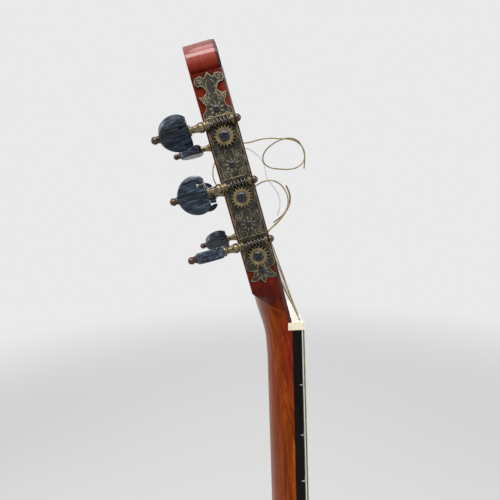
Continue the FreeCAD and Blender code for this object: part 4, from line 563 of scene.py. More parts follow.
# Inside the body: cedar linings along the edges, the tail block between the sides' ends, and
# braces of bare planed spruce glued under the soundboard and on the back.
def dress(node, finish):
    """Put a finish in each material place of a CAD node that keeps its form."""
    materials = nodes[node].data.materials
    for place in range(len(materials)):
        materials[place] = finish.material


bare_cedar = wood(
    "bare_cedar", [(0.3, (140, 88, 52)), (0.52, (178, 122, 78)), (0.72, (200, 150, 104))],
    (0.003, 0.01, 0.04), roughness=0.7,
)
bare_spruce = wood(
    "bare_spruce", [(0.3, (204, 168, 118)), (0.52, (226, 196, 146)), (0.72, (238, 214, 170))],
    (0.003, 0.003, 0.04), roughness=0.65,
)
dress("linings", bare_cedar)
dress("tail_block", bare_cedar)
dress("soundboard_braces", bare_spruce)
dress("back_braces", bare_spruce)


# The rosette: rings of dyed wood slips let in round the soundhole, plain lines at its two
# edges and a band of small diamonds between them.
def band(field, low, high, soft=0.06):
    """1 between two reaches and 0 outside, with soft edges."""
    return field.between(low - soft, low + soft) - field.between(high - soft, high + soft)


rosette_finish = Finish(
    "rosette_mosaic", roughness=0.4, specular_ior_level=0.2, coat_weight=0.2, coat_roughness=0.1,
)
wheel = rosette_finish.place.laid((1000, 1, 1), centre=(0, 0, -0.478))
reach = wheel.node("ShaderNodeVectorMath", {"operation": "LENGTH"}, {0: wheel}, "Value") * 1000
angle = wheel.axis("Y").math("ARCTAN2", wheel.axis("Z"))
slips = (reach * (np.pi / 0.8)).math("SINE") * 0.5 + 0.5
diamonds = ((angle * 96).math("SINE") * (reach * (np.pi / 1.3)).math("SINE")).between(-0.08, 0.08)
small = ((angle * 192).math("SINE") * (reach * (np.pi / 0.65)).math("SINE")).between(-0.1, 0.1)
base = rosette_finish.place.laid((0.004,) * 3).noise(3.0)
base = base.ramp((0.3, (70, 30, 20)), (0.7, (104, 50, 34)))
mosaic = diamonds.tint(paint(196, 150, 88), paint(92, 22, 14))
edges = small.tint(paint(22, 58, 38), paint(196, 160, 104))
lines = slips.between(0.5, 0.7).tint(paint(16, 10, 8), paint(206, 170, 112))
colour = band(reach, 51.4, 58.6).tint(base, mosaic)
colour = (band(reach, 49.6, 51.0) + band(reach, 59.0, 60.4)).tint(colour, edges)
colour = (band(reach, 47.0, 49.4) + band(reach, 60.6, 63.2)).tint(colour, lines)
rosette_finish.set("Base Color", colour)
rosette_finish.rough(small, 0.000006)
dress("rosette", rosette_finish)


# The tap plate: a thin sheet of clear plastic, glued over the soundboard under and beside the
# strings, where the fingers tap. It is faintly clouded by wear.
tap_finish = Finish(
    "clear_plate", base_color=paint(250, 246, 236), roughness=0.06, coat_weight=0.6,
    coat_roughness=0.03,
)
wear = tap_finish.place.laid((0.02, 0.004, 0.03)).noise(4.0, 0.7)
tap_finish.set("Alpha", wear * 0.06 + 0.03)
tap_finish.rough(wear, 0.00001)
refined("tap_plate", "tap_plate_clear", tap_finish)


# The bridge: one block of rosewood with low wings, a slot for the saddle and a tie block with
# six holes, glued to the soundboard.
bridge_wood = wood(
    "bridge_rosewood", [(0.3, (34, 16, 12)), (0.5, (74, 36, 24)), (0.7, (116, 62, 42))],
    (0.0018, 0.03, 0.0018), roughness=0.34, coat_weight=0.5, coat_roughness=0.12,
)
refined("bridge", "bridge_rosewood", bridge_wood, 0.3)


# The machine plates: a long brass plate on each edge of the head, browned, with three pairs
# of ears for the worms. Scrolls, stars and border lines stand up brighter from its ground.
SIDES = {"bass": -1, "treble": 1}
POSTS = {"upper": 118.5, "middle": 83.5, "lower": 48.5}
PLATE_EDGE = [
    ((0.984, 0.09), (0.975, 0.17)), ((0.988, 0.24), (0.987, 0.33)),
    ((0.966, 0.49), (0.944, 0.4)), ((0.944, 0.3), (0.929, 0.22)),
    ((0.912, 0.2), (0.906, 0.26)), ((0.899, 0.33), (0.907, 0.47)),
    ((0.884, 0.42), (0.865, 0.33)), ((0.843, 0.35), (0.829, 0.47)), ((0.815, 0.5),),
    ((0.108, 0.5),), ((0.074, 0.42), (0.072, 0.29)), ((0.05, 0.34), (0.032, 0.48)),
    ((0.018, 0.28), (0.03, 0.14)), ((0.016, 0.08), (0.0, 0.0)),
]
PLATE_LOW, PLATE_LONG, PLATE_WIDE = 31, 124, 17.4
PLATE_SCREWS = (134.66, 102.92, 67.70, 38.94)
PLATE_DEPTH, PLATE_BACK, PLATE_FRONT, LINE_RISE = -9, 34.1, 34.22, 0.17


def through(first, middle, last):
    """Points of the circle's arc that leaves one point, passes a second and ends at a third. The
    circle's middle is as far from all three."""
    a, b, c = (np.array(p, float) for p in (first, middle, last))
    d = 2 * (a[0] * (b[1] - c[1]) + b[0] * (c[1] - a[1]) + c[0] * (a[1] - b[1]))
    far = np.array([a @ a, b @ b, c @ c])
    heart = np.array([far @ [b[1] - c[1], c[1] - a[1], a[1] - b[1]],
                      far @ [c[0] - b[0], a[0] - c[0], b[0] - a[0]]]) / d
    start, mid, end = (np.arctan2(*(p - heart)[::-1]) for p in (a, b, c))
    way = 1 if (mid - start) % (2 * np.pi) < (end - start) % (2 * np.pi) else -1
    sweep = way * ((way * (end - start)) % (2 * np.pi))
    turn = start + sweep * np.linspace(0, 1, 24)
    return heart + np.linalg.norm(a - heart) * np.stack([np.cos(turn), np.sin(turn)], 1)


def plate_outline():
    """The plate's edge, across and along in millimetres: one side by its arcs, then the other."""
    half = [np.array([[0.0, PLATE_LOW + PLATE_LONG]])]
    for step in PLATE_EDGE:
        ends = [(wide * PLATE_WIDE, PLATE_LOW + high * PLATE_LONG) for high, wide in step]
        start = half[-1][-1]
        if len(ends) == 2:
            half.append(through(start, ends[0], ends[1])[1:])
        else:
            count = max(2, int(abs(ends[0][1] - start[1]) / 0.15))
            half.append(np.linspace(start, ends[0], count)[1:])
    side = np.concatenate(half)
    return np.concatenate([side, side[-2:0:-1] * (-1, 1)])


def reach_to(places, marks):
    """How far each place lies from the nearest of many marks, and which mark that is."""
    far, which = [], []
    for part in np.array_split(places, max(1, len(places) // 1500)):
        square = ((part[:, None, :] - marks[None]) ** 2).sum(-1)
        which.append(square.argmin(1))
        far.append(np.sqrt(square.min(1)))
    return np.concatenate(far), np.concatenate(which)


def inside(places, edge):
    """Whether each place lies inside a closed edge, by the count of sides that it looks across."""
    count = np.zeros(len(places), int)
    for (x0, y0), (x1, y1) in zip(edge, np.roll(edge, -1, 0)):
        crosses = (y0 > places[:, 1]) != (y1 > places[:, 1])
        if y0 != y1:
            count += crosses & (places[:, 0] < x0 + (places[:, 1] - y0) * (x1 - x0) / (y1 - y0))
    return count % 2 == 1


def scroll(centre, radius, turns, start, way):
    """A spiral: its reach is the radius times a share that grows evenly from its eye to its
    mouth, while it turns the given number of times."""
    share = np.linspace(0.12, 1, 60)[:, None]
    turn = start + way * 2 * np.pi * turns * (1 - share)
    return np.array(centre) + radius * share * np.hstack([np.cos(turn), np.sin(turn)])


def wave(first, last, bulge, twist=1.0):
    """A straight run from one place to another, put aside by the bulge times a sine wave."""
    share = np.linspace(0, 1, 50)[:, None]
    first, last = np.array(first, float), np.array(last, float)
    run = last - first
    aside = np.array([-run[1], run[0]]) / np.linalg.norm(run)
    return first + run * share + aside * bulge * np.sin(2 * np.pi * share * twist)


def engraved_lines():
    """Every scroll and S-line on one half of the plate, mirrored to the other."""
    drawn = [
        scroll((5.6, 151.2), 1.9, 1.6, 1.2, 1), wave((1.2, 150.5), (3.4, 140.6), 0.7),
        wave((2.2, 147.0), (5.6, 140.2), 0.6), wave((0.9, 41.9), (4.9, 36.2), 0.6),
        wave((7.4, 122.5), (7.4, 116), 0.5), wave((7.4, 91), (7.4, 79), 0.5, 2),
        wave((7.4, 56), (7.4, 45), 0.5, 2),
    ]
    for middle in PLATE_SCREWS[:3]:
        drawn += [
            scroll((5.0, middle + 5.4), 2.2, 1.7, -2.2, 1),
            scroll((5.2, middle - 5.0), 2.0, 1.7, 2.2, -1),
            wave((7.2, middle + 3.4), (7.0, middle - 3.2), 0.7),
            wave((0.9, middle + 8.6), (4.0, middle + 4.2), 0.7),
            wave((0.9, middle - 7.6), (4.2, middle - 3.6), -0.7),
        ]
    half = np.concatenate(drawn)
    return np.concatenate([half, half * (-1, 1)])


PETALS = 9


def plate_height(places, edge):
    """How high the skin stands, from 0 to 1: the highest of two border lines, the drawn lines,
    a star of nine petals round each screw and a wavy lip by each worm, each a bell curve."""
    rise = np.exp(-(((edge - 0.34) / 0.2) ** 2)) + 0.5 * np.exp(-(((edge - 1.1) / 0.13) ** 2))
    near, _ = reach_to(places, engraved_lines())
    rise = np.maximum(rise, 0.95 * np.exp(-((near / 0.2) ** 2)))
    for middle in PLATE_SCREWS:
        out = places - (0, middle)
        reach = np.hypot(*out.T)
        turn = np.arctan2(*out.T)
        lean = (turn * PETALS / 2 + np.pi / 2) % np.pi - np.pi / 2
        aside = reach * np.sin(lean) * 2 / PETALS
        width = 0.42 * np.sin(np.pi * np.clip((reach - 2.1) / 2.5, 0, 1)) + 1e-6
        rise = np.maximum(rise, 0.8 * np.exp(-((aside / width) ** 2)) * (width > 0.02))
        rise = np.maximum(rise, 0.6 * np.exp(-(((reach - 2.25) / 0.16) ** 2)))
    for post in POSTS.values():
        lip = places[:, 1] - (post + 11.7 + 0.45 * np.abs(np.cos(places[:, 0] * 1.05)))
        rise = np.maximum(rise, np.exp(-((lip / 0.24) ** 2)) * (edge > 0.6))
    return rise


def engraved_skin(side):
    """A fine grid inside the plate's edge, its border moved onto the edge, raised by the lines;
    a flat copy under it and a wall round both close it."""
    edge, cell = plate_outline(), 0.22
    across, along = np.arange(-8.8, 8.81, cell), np.arange(30.9, 155.2, cell)
    grid = np.stack(np.meshgrid(across, along), -1)
    middles = (grid[:-1, :-1] + grid[1:, 1:]) / 2
    full = inside(middles.reshape(-1, 2), edge).reshape(middles.shape[:2])
    corner = np.zeros(grid.shape[:2], int)
    for row, column in ((0, 0), (0, 1), (1, 1), (1, 0)):
        corner[row:row + full.shape[0], column:column + full.shape[1]] += full
    used = corner > 0
    number = np.cumsum(used.ravel()).reshape(used.shape) - 1
    places = grid[used]
    far, which = reach_to(places, edge)
    border = corner[used] < 4
    places[border], far[border] = edge[which[border]], 0
    rise = plate_height(places, far)
    cells = squares(number)
    faces = cells[full]
    padded = np.pad(full, 1)
    walls = []
    for shift, ends in (((-1, 0), (0, 1)), ((0, 1), (1, 2)), ((1, 0), (2, 3)), ((0, -1), (3, 0))):
        open_side = full & ~np.roll(padded, (-shift[0], -shift[1]), (0, 1))[1:-1, 1:-1]
        walls.append(cells[open_side][:, ends])
    walls = np.concatenate(walls)
    count = len(places)
    depth, along = places[:, 0] + PLATE_DEPTH, places[:, 1]
    top = on_head(np.stack([depth, side * (PLATE_FRONT + LINE_RISE * rise), along], -1))
    low = on_head(np.stack([depth, np.full(count, side * PLATE_BACK), along], -1))
    skirt = np.hstack([walls, walls[:, ::-1] + count])
    surface = (np.concatenate([top, low]), np.concatenate([faces, faces[:, ::-1] + count, skirt]))
    return surface, np.concatenate([rise, 0 * rise])


bronze = Finish("aged_bronze", metallic=0.92)
patina = bronze.place.laid((0.0025,) * 3).noise(4.0, 0.65)
bright = bronze.mark("line").between(0.25, 0.8)
ground_metal = patina.ramp((0.3, (40, 40, 38)), (0.55, (66, 65, 59)), (0.75, (96, 92, 80)))
line_metal = patina.ramp((0.3, (100, 89, 66)), (0.7, (168, 152, 117)))
bronze.set("Base Color", bright.tint(ground_metal, line_metal))
bronze.set("Roughness", patina * 0.25 + 0.24)
bronze.rough(patina, 0.00002)
ear_bronze = metal("ear_bronze", (62, 55, 42), (118, 104, 78), 0.24)
for side_name, side in SIDES.items():
    plate_name = "machine_plate_" + side_name
    refined("tuner_plate_" + side_name, plate_name, ear_bronze, 0.22)
    surface, rise = engraved_skin(side)
    shell("engraving_" + side_name, bronze, "guitar", [surface],
          sharp=60.0, marks={"line": rise})


# The plate screws and the gears' screws: turned steel with a domed head and a cross recess,
# browned nearly black and worn bright at the rim.
def crossed_head(radius, height, arm=0.62, width=0.26):
    """A dome over a low rim, in rings and rays: its height follows half an ellipse, and sinks
    by 0.62 of it where a ray lies in the cross."""
    share = np.r_[0, np.linspace(0.04, 1, 30), 1, 1][:, None]
    turn = np.linspace(0, 2 * np.pi, 97)[:-1][None]
    x, y = share * np.cos(turn), share * np.sin(turn)
    rise = height * (0.3 + 0.7 * np.sqrt(np.clip(1 - share**2, 0, 1))) + 0 * turn
    narrow = np.minimum(np.abs(x), np.abs(y))
    wide = np.maximum(np.abs(x), np.abs(y))
    cross = np.clip((width / 2 - narrow) / 0.05, 0, 1) * np.clip((arm - wide) / 0.08, 0, 1)
    rise = rise - 0.62 * height * cross
    rise[-2:] = 0.0
    x[-1], y[-1] = 0.0, 0.0
    return np.stack([radius * x, radius * y, rise], -1)


def set_in(points, origin, axes):
    """Millimetres along a part's own three directions, put in the room from its origin."""
    return origin + points @ np.array(axes) / 1000


def screw_set(head, seat, tilt, side):
    """A screw head turned by a tilt about its axis and set on a seat at the head's side."""
    ray = np.cos(tilt) * HEAD_FACE + np.sin(tilt) * HEAD_ALONG
    cross_ray = -np.sin(tilt) * HEAD_FACE + np.cos(tilt) * HEAD_ALONG
    return lattice(set_in(head, on_head(seat), (ray, cross_ray, side * AXIS_Y)))


AXIS_Y = np.array([0.0, 1.0, 0.0])
PLATE_SCREW_SEAT = 34.2
screw_steel = metal("browned_steel", (8, 9, 13), (38, 42, 54), 0.06, coat_weight=1.0)
plate_head = crossed_head(2.0, 1.1)
plate_screws = []
for side in SIDES.values():
    for number, along in enumerate(PLATE_SCREWS):
        seat = (PLATE_DEPTH, side * PLATE_SCREW_SEAT, along)
        plate_screws.append(screw_set(plate_head, seat, 0.5 + 1.3 * number + side, side))
shell("plate_screw_heads", screw_steel, "guitar", plate_screws,
      ["plate_screws"])


# The worm shafts: turned bronze with a cut thread between the ears, a ball at the front, a
# ring and a baluster behind, and the square-ended stem that carries the button.
LEAD, PITCH_REACH = 0.62 * np.pi, 2.28
THREAD_START, THREAD_LAPS, THREAD_RUN_OUT = -3.896, 4.5, 0.12
THREAD_ROOT, THREAD_TIP, FLANK = 1.46, 2.9, np.tan(np.radians(20))


def thread_reach(turn, along):
    """The screw's reach at a turn and a height: a ridge with 20 degree flanks that climbs by one
    lead a turn, cut off at its tip and root and run out at both ends."""
    lap = (along - THREAD_START) / LEAD - turn / (2 * np.pi)
    off = np.abs(lap - np.round(lap)) * LEAD
    climbed = np.round(lap) + turn / (2 * np.pi)
    begun = np.clip((climbed + 0.02) / THREAD_RUN_OUT, 0, 1)
    left = np.clip((THREAD_LAPS + 0.02 - climbed) / THREAD_RUN_OUT, 0, 1)
    ridge = np.clip(PITCH_REACH + (0.402 - off) / FLANK, THREAD_ROOT, THREAD_TIP)
    return THREAD_ROOT + (ridge - THREAD_ROOT) * begun * left


def polar(reach, turn, along):
    """Points at a reach and a turn about an axis, and at a place along it."""
    return np.stack([reach * np.cos(turn), reach * np.sin(turn), along + 0 * turn], -1)


def ball(middle, radius, low, high):
    """Places and reaches of a round knob between two places along its axis: the reach is the
    root of the radius squared less the distance from its middle squared."""
    first, last = np.arcsin((low - middle) / radius), np.arcsin((high - middle) / radius)
    along = middle + radius * np.sin(np.linspace(first, last, 9))
    return [(a, np.sqrt(max(radius**2 - (a - middle) ** 2, 0))) for a in along]


SHAFT_REAR = ball(-37.777, 2.25, -40.027, -36.35) + [
    (-36.1, 2.0), (-36.0, 2.17), (-35.2, 2.17), (-35.1, 2.0), (-35.1, 1.5), (-18.1, 1.5),
    (-18.1, 2.9), (-17.95, 3.1), (-17.25, 3.1), (-17.1, 2.9), (-17.05, 1.75), (-16.6, 1.72),
    (-16.2, 2.1), (-15.9, 2.1), (-15.6, 1.8), (-14.6, 2.0), (-13.6, 2.25), (-12.92, 2.36),
    (-12.5, 2.72), (-11.9, 2.94), (-11.02, 3.0), (-10.3, 2.85), (-9.8, 2.6), (-9.5, 2.3),
    (-9.45, 2.2), (-9.4, 2.7), (-9.25, 2.84), (-8.55, 2.84), (-8.35, 2.7), (-8.32, 1.5),
    (-6.3, 1.5),
]
SHAFT_FRONT = [(5.8, 1.5), (7.72, 1.5), (7.8, 1.6)] + ball(9.477, 2.25, 7.95, 11.727)
around = np.linspace(0, 2 * np.pi, 57)[:-1]


def turned(rows):
    """The same reach all round for each row of a turned profile."""
    return np.repeat(np.array([reach for _, reach in rows])[:, None], len(around), 1)


threads = np.arange(-6.2, 5.71, 0.1)
shaft_along = np.concatenate([[a for a, _ in SHAFT_REAR], threads, [a for a, _ in SHAFT_FRONT]])
shaft_reach = np.concatenate(
    [turned(SHAFT_REAR), thread_reach(around[None], threads[:, None]), turned(SHAFT_FRONT)]
)
shaft_rows = np.repeat(shaft_along[:, None], len(around), 1)
shaft_points = polar(shaft_reach, around, shaft_rows)
worm_metal = Finish("worm_bronze", metallic=0.95)
stem = worm_metal.mark("stem")
ridge = worm_metal.mark("ridge")
cloud = worm_metal.place.laid((0.002,) * 3).noise(3.0)
brass_turned = cloud.ramp((0.3, (86, 77, 58)), (0.7, (142, 129, 100)))
dark_steel = cloud.ramp((0.3, (50, 48, 47)), (0.7, (94, 88, 82)))
# Painted highlight and shade: the thread is lighter at its crest and darker down its flanks to the
# root.
crown = ridge.between(0.55, 0.95).tint(dark_steel, paint(108, 101, 90))
brown = cloud.ramp((0.3, (58, 47, 41)), (0.7, (104, 88, 77)))
colour = stem.between(-8.0, -7.6).tint(brass_turned, crown)
colour = stem.between(6.0, 6.4).tint(colour, brass_turned)
colour = stem.between(7.8, 7.9).tint(colour, brown)
worm_metal.set("Base Color", stem.between(-35.2, -35.1).tint(brown, colour))
worm_metal.set("Roughness", cloud * 0.14 + 0.16)
worm_metal.rough(cloud, 0.00001)
shaft_marks = {
    "stem": shaft_rows.ravel(),
    "ridge": ((shaft_reach - THREAD_ROOT) / (THREAD_TIP - THREAD_ROOT)).clip(0, 1).ravel(),
}
MACHINE_OUT, WORM_LIFT = 37.4, 7.86
MACHINES = [
    (f"{side_name}_{post}", side, along)
    for side_name, side in SIDES.items() for post, along in POSTS.items()
]
for tag, side, along in MACHINES:
    origin = on_head((PLATE_DEPTH, side * MACHINE_OUT, along + WORM_LIFT))
    points = set_in(shaft_points, origin, (HEAD_ALONG, -AXIS_Y, HEAD_FACE))
    shell("worm_" + tag, worm_metal, "worm_" + tag, [lattice(points)],
          ["worm_shaft_" + tag], marks=shaft_marks)


# The gears: eighteen leaning teeth cut in a brass disc, a turned ring on its face, and a big
# domed screw that holds it to the roller's end.
TEETH, GEAR_PITCH, GEAR_ROOT, GEAR_TIP = 18, 5.58, 4.805, 6.2
BACKLASH, TOOTH_LEAN = 0.34, 0.0780
tooth_turn = np.pi / TEETH
gear_turn = np.linspace(0, 2 * np.pi, TEETH * 15 + 1)[:-1]
half_tooth = (tooth_turn - BACKLASH / (2 * GEAR_PITCH)) / 2
off_tooth = np.abs((gear_turn - np.pi / 2 + tooth_turn) % (2 * tooth_turn) - tooth_turn)
tooth_reach = GEAR_PITCH + (half_tooth - off_tooth) * GEAR_PITCH / FLANK
tooth_reach = np.clip(tooth_reach, GEAR_ROOT, GEAR_TIP)
GEAR_ROWS = [
    (-2.9, 0.0), (-2.9, 3.6), (-2.85, 3.95), (-2.7, 4.0), (-1.6, 4.0), (-1.6, 6.05), (-1.45, 6.2),
    (1.45, 6.2), (1.6, 6.05), (1.6, 4.55), (1.48, 4.45), (1.48, 4.1), (1.6, 4.0), (1.6, 3.5),
    (1.5, 3.4), (1.5, 3.0), (1.6, 2.9), (1.6, 0.0),
]
level, reach = np.hsplit(np.array(GEAR_ROWS), 2)
gear_reach = np.minimum(reach, tooth_reach[None] - np.where(reach == 6.05, 0.12, 0.0))
gear_twist = gear_turn[None] + np.where(reach > 4.6, level, 0) / 3.2 * TOOTH_LEAN
gear_points = polar(gear_reach, gear_twist, level)
gear_metal = Finish("gear_brass", metallic=0.95)
span = gear_metal.mark("span")
cloud = gear_metal.place.laid((0.002,) * 3).noise(3.0)
dull = cloud.ramp((0.3, (80, 70, 52)), (0.7, (124, 109, 82)))
bright = cloud.ramp((0.3, (110, 96, 70)), (0.7, (164, 145, 108)))
# Painted highlight: the turned ring and the teeth's tips are a lighter brass than the rest.
shine = band(span, 3.3, 5.0, 0.2) + span.between(5.6, 6.1)
gear_metal.set("Base Color", shine.tint(dull, bright))
gear_metal.set("Roughness", cloud * 0.16 + 0.16)
gear_metal.rough(cloud, 0.00001)
gear_head, GEAR_SCREW_SEAT = crossed_head(3.1, 1.7, 0.66, 0.22), 39.0
for number, (tag, side, along) in enumerate(MACHINES):
    origin = on_head((PLATE_DEPTH, side * MACHINE_OUT, along))
    points = set_in(gear_points, origin, (HEAD_FACE, -side * HEAD_ALONG, side * AXIS_Y))
    shell("gear_" + tag, gear_metal, "winder_" + tag, [lattice(points)],
          ["gear_" + tag], marks={"span": gear_reach.ravel()})
    tilt = 0.4 + 0.9 * (number % len(POSTS))
    screw = screw_set(gear_head, (PLATE_DEPTH, side * GEAR_SCREW_SEAT, along), tilt, side)
    shell("gear_screw_" + tag, screw_steel, "winder_" + tag, [screw])


# The rollers: ivory-coloured tubes on a steel core, one across each slot, with a narrow pivot
# in the head's middle and a spigot that carries the gear.
ivory = Finish(
    "roller_ivory", roughness=0.28, coat_weight=0.5, coat_roughness=0.08, subsurface_weight=0.1,
    subsurface_scale=0.001,
)
cloud = ivory.place.laid((0.003, 0.012, 0.003)).noise(3.0)
ivory.set("Base Color", cloud.ramp((0.3, (214, 202, 172)), (0.7, (240, 232, 210))))
ivory.rough(cloud, 0.00001)
for tag, _, _ in MACHINES:
    refined("roller_" + tag, "roller_tube_" + tag, ivory, 0.3, 3,
            body="winder_" + tag)


# The buttons: flat-edged discs of polished black ebony, drilled for the stem and with two
# keyholes by the flat edge. Their faces are streaked along the grain, and the lighter
# blue-grey streaks are a painted sheen.
button_wood = Finish(
    "button_ebony", specular_ior_level=0.1, coat_weight=0.25, coat_roughness=0.14,
)
streak = button_wood.place.laid((0.008, 0.0007, 0.0007), HEAD_LEAN).noise(3.0, 0.6)
# Painted sheen: the ramp's lighter blue-grey stops paint a satin sheen onto black ebony.
button_wood.set("Base Color", streak.ramp(
    (0.34, (7, 9, 13)), (0.5, (32, 40, 52)), (0.64, (72, 88, 106)), (0.78, (120, 138, 160)),
))
button_wood.set("Roughness", streak * 0.3 + 0.22)
button_wood.rough(streak, 0.00002)
for tag, _, _ in MACHINES:
    refined("button_" + tag, "button_ebony_" + tag, button_wood, 0.55, 3, 25.0,
            body="worm_" + tag)


# The strings: three of clear nylon and three wound with fine wire. Each is tied at the
# bridge, passes the saddle and the nut and runs to its roller.
clear_nylon = Finish("clear_nylon", roughness=0.2, specular_ior_level=0.3, alpha=0.5)
haze = clear_nylon.place.laid((0.003,) * 3).noise(2.0)
clear_nylon.set("Base Color", haze.ramp((0.3, (196, 202, 208)), (0.7, (240, 242, 244))))

GAUGES = (0.72, 0.82, 1.02, 0.76, 0.9, 1.1)
LANES = (("treble", "lower", 0.8, -1), ("treble", "middle", 0.34, 1), ("treble", "upper", 0.3, 1),
         ("bass", "upper", 0.3, 1), ("bass", "middle", 0.34, 1), ("bass", "lower", 0.8, -1))


def bent(points, radii):
    """A line through corners, each rounded by a circle that touches both of its runs."""
    points = np.array(points, float)
    path = [points[:1]]
    for before, corner, after, radius in zip(points, points[1:], points[2:], radii):
        back = (before - corner) / np.linalg.norm(before - corner)
        ahead = (after - corner) / np.linalg.norm(after - corner)
        half = np.arccos(np.clip(back @ ahead, -1, 1)) / 2
        heart = corner + (back + ahead) / np.linalg.norm(back + ahead) * radius / np.sin(half)
        first, last = corner + back * radius / np.tan(half), corner + ahead * radius / np.tan(half)
        share = np.linspace(0, 1, 10)[:, None]
        sweep = np.pi - 2 * half
        leaving, coming = np.sin((1 - share) * sweep), np.sin(share * sweep)
        arc = (leaving * (first - heart) + coming * (last - heart)) / np.sin(sweep)
        path.append(heart + arc)
    return np.concatenate(path + [points[-1:]])


def tube(path, radius, corners=12):
    """A round tube along a path: circles square to it, with a pole at each end. It also gives
    how far along the path each point lies."""
    run = np.gradient(path, axis=0)
    run /= np.linalg.norm(run, axis=1)[:, None]
    out = np.cross(run, AXIS_Y)
    out /= np.linalg.norm(out, axis=1)[:, None]
    side = np.cross(run, out)
    turn = np.linspace(0, 2 * np.pi, corners + 1)[:-1]
    ring = np.cos(turn)[None, :, None] * out[:, None] + np.sin(turn)[None, :, None] * side[:, None]
    rings = path[:, None] + radius * ring
    ends = np.repeat(path[[0, -1], None], corners, 1)
    along = np.r_[0, np.cumsum(np.linalg.norm(np.diff(path, axis=0), axis=1))]
    marks = np.repeat(np.r_[along[0], along, along[-1]][:, None], corners, 1)
    return np.concatenate([ends[:1], rings, ends[1:]]) / 1000, marks.ravel()


ROLLER_REACH, TOUCH = 5, 0.05
SADDLE_TOP, TIE_FLOOR, NUT_TOP = 8.8, 4.6, 8.1


def lane_end(lane):
    """Which roller a lane's string comes to, and where across it the first turn lies."""
    side_name, post, share, _ = lane
    side = SIDES[side_name]
    return side, POSTS[post], side * (8 + share * 15.5)


def string_path(index):
    """From the tie over the saddle and the nut to where the string touches its roller: there a
    line from the nut is square to the roller's reach."""
    thick = GAUGES[index]
    _, post, roller_y = lane_end(LANES[index])
    y, y_nut = 58 * (0.5 - index / 5), 43 * (0.5 - index / 5)
    over, behind = SADDLE_TOP + thick / 2 + TOUCH, -672 - thick / 2 - TOUCH
    local = np.array([NUT_TOP, y_nut, 0.0]) - HEAD_ORIGIN
    across, along = local @ HEAD_FACE - PLATE_DEPTH, local @ HEAD_ALONG - post
    reach = ROLLER_REACH + thick / 2 + 0.3
    turn = np.arctan2(across, along) - np.arccos(reach / np.hypot(across, along))
    end = (PLATE_DEPTH + reach * np.sin(turn), roller_y, post + reach * np.cos(turn))
    points = [
        (over, y, -662.25), (over, y, behind), (TIE_FLOOR, y, behind), (TIE_FLOOR, y, -659),
        (11, y, -651.5), (NUT_TOP, y_nut, 0), on_head(end) * 1000,
    ]
    wrap = 0.45 * (over - TIE_FLOOR)
    return bent(points, [wrap, wrap, 2.5, 2.5, 4.0])


def winding_path(index):
    """Three turns about the roller that climb outwards by a step a turn, with a straight start."""
    thick, way = GAUGES[index], LANES[index][3]
    side, post, roller_y = lane_end(LANES[index])
    outward, step, radius = side * way, thick + 0.55, ROLLER_REACH + thick / 2 + TOUCH
    turns = np.linspace(0, 3, 145)
    angle = 2 * np.pi * turns
    coil = np.stack([
        PLATE_DEPTH + radius * np.cos(angle),
        roller_y + outward * (thick + 0.35 + step * turns),
        post + radius * np.sin(angle),
    ], -1)
    coil = np.concatenate([coil[:1] - (0, 0, thick), coil, coil[-1:] + (0, 0, thick)])
    return on_head(coil) * 1000


wound = Finish("wound_string", metallic=0.9, roughness=0.26)
# The winding's bands are painted shade in the grooves between turns and a painted highlight on
# each turn, mixed with the wire's real tarnish.
coil_line = (wound.mark("along") * (2 * np.pi / 0.32)).math("SINE") * 0.5 + 0.5
tarnish = wound.place.laid((0.006,) * 3).noise(3.0)
tarnish_and_groove_shade = tarnish * 0.7 + coil_line * 0.3
wound.set("Base Color", tarnish_and_groove_shade.ramp((0.25, (84, 74, 56)), (0.7, (196, 180, 144))))
wound.rough(coil_line, 0.00005)
STRING_KINDS = {
    "treble": ((0, 1, 2), clear_nylon, "clear_nylon"),
    "bass": ((3, 4, 5), wound, "wound_wire"),
}
for side_name, (numbers, finish, slot) in STRING_KINDS.items():
    group = side_name + "_strings"
    tubes, marks = zip(*[tube(string_path(index), GAUGES[index] / 2) for index in numbers])
    shell(group + "_round", finish, "guitar", [lattice(points) for points in tubes], [group],
          marks={"along": np.concatenate(marks)})
for index, (side_name, post, _, _) in enumerate(LANES):
    tag = f"{side_name}_{post}"
    _, finish, slot = STRING_KINDS[side_name]
    points, marks = tube(winding_path(index), GAUGES[index] / 2)
    shell("turns_" + tag, finish, "winder_" + tag, [lattice(points)],
          ["string_winding_" + tag], marks={"along": marks})


# The loose ends of the strings: what is left over past each roller springs out in loops
# beside the slots. Wound strings have a gilt or pale winding, and the plain one is nylon.
def wire_finish(name, low, high, shine):
    """Wound wire: its colour and roughness follow 0.85 of broad clouds and 0.15 of fine ones."""
    made = Finish(name, metallic=0.9)
    spots = made.place.laid((0.006,) * 3).noise(2.0)
    grain = made.place.laid((0.00035,) * 3).noise(1.0)
    made.set("Base Color", (spots * 0.85 + grain * 0.15).ramp((0.3, low), (0.72, high)))
    made.set("Roughness", spots * 0.2 + shine)
    made.rough(grain, 0.00006)
    return made


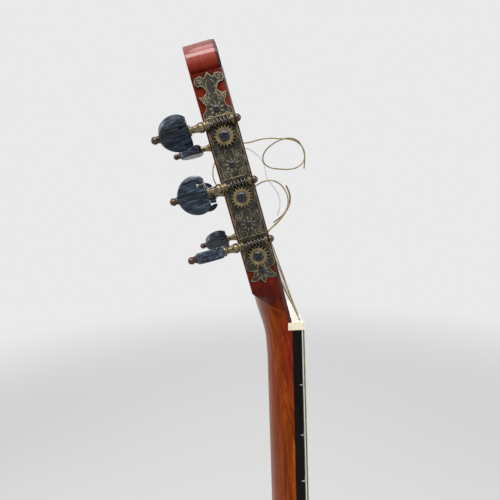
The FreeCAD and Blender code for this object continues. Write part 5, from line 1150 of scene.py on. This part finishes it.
gilt_wire = wire_finish("gilt_wire", (92, 78, 54), (166, 146, 104), 0.34)
pale_wire = wire_finish("pale_wire", (112, 98, 70), (190, 172, 134), 0.34)
LOOSE_ENDS = {
    "bass_upper": (0.76, gilt_wire, 0.126, [
        (-4, -19.2, 116.5), (0, -19.4, 115), (5, -19.6, 114), (11.5, -20, 114.2),
        (17.5, -20.5, 113.2), (23, -21, 111.2), (28.5, -21.5, 109.6), (33.5, -22, 106),
        (35.5, -22.5, 100.5), (34, -23, 94.5), (28.5, -24, 91.5), (22.5, -25, 92),
        (16.5, -26, 94), (12.5, -26.5, 95.5), (9, -27, 99), (9.5, -27.5, 103.5),
        (13, -27.5, 107), (19.5, -27, 109.5), (26.5, -26.5, 110), (32, -26, 107.5),
        (34.5, -25.5, 101.5), (34, -25, 95.5), (32, -24.5, 90),
    ]),
    "bass_middle": (0.9, pale_wire, 0.051, [
        (-4.2, -20.2, 85.8), (-0.5, -20.3, 87.4), (4, -20.6, 89), (9, -21, 89.5),
        (13.5, -21.5, 88), (17, -22, 84), (19, -22, 77.5), (17.5, -21.5, 70.5),
        (12, -21, 65.5), (6, -20.5, 63.5),
    ]),
    "bass_lower": (1.1, gilt_wire, 0.0445, [
        (-5.5, -22, 52.5), (-2, -21.8, 56.5), (2.5, -20.8, 60), (8.5, -18.8, 62.5),
        (14.5, -17, 66.5), (19.5, -16, 71.5), (21.5, -16, 78), (20, -16.5, 83.5),
    ]),
    "treble_upper": (1.02, clear_nylon, 0.066, [
        (-3.7, 20.2, 118.3), (0, 20.2, 118.6), (4, 19.6, 117.2), (8, 18.6, 113.6),
        (12, 17.5, 108), (14, 16.5, 100.5), (12.5, 16, 92.5), (16, 16.5, 85),
        (18.5, 17, 77), (16.5, 17, 69.5), (13, 17, 64.5),
    ]),
    "rear": (0.76, pale_wire, 0.0326, [
        (-13, -11.2, 114.9), (-16.2, -12, 112), (-19.5, -13, 108.5), (-21.8, -14, 104),
        (-22.6, -15, 99), (-21.5, -15.6, 94.5), (-18.8, -16, 91), (-15.2, -16.4, 89),
    ]),
}
for label, (gauge, finish, length, route) in LOOSE_ENDS.items():
    points = on_head(route)
    curve = bpy.data.curves.new("loose_end_" + label, "CURVE")
    curve.dimensions = "3D"
    curve.bevel_depth, curve.bevel_resolution = gauge / 2000, 3
    curve.resolution_u, curve.use_fill_caps = 10, True
    line = curve.splines.new("NURBS")
    line.points.add(len(points) - 1)
    line.points.foreach_set("co", np.column_stack([points, np.ones(len(points))]).ravel())
    line.order_u, line.use_endpoint_u = 3, True
    curve.materials.append(finish.material)
    loose = stand("loose_end_" + label, curve)
    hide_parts("string_end_" + label)
    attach(loose, "guitar")
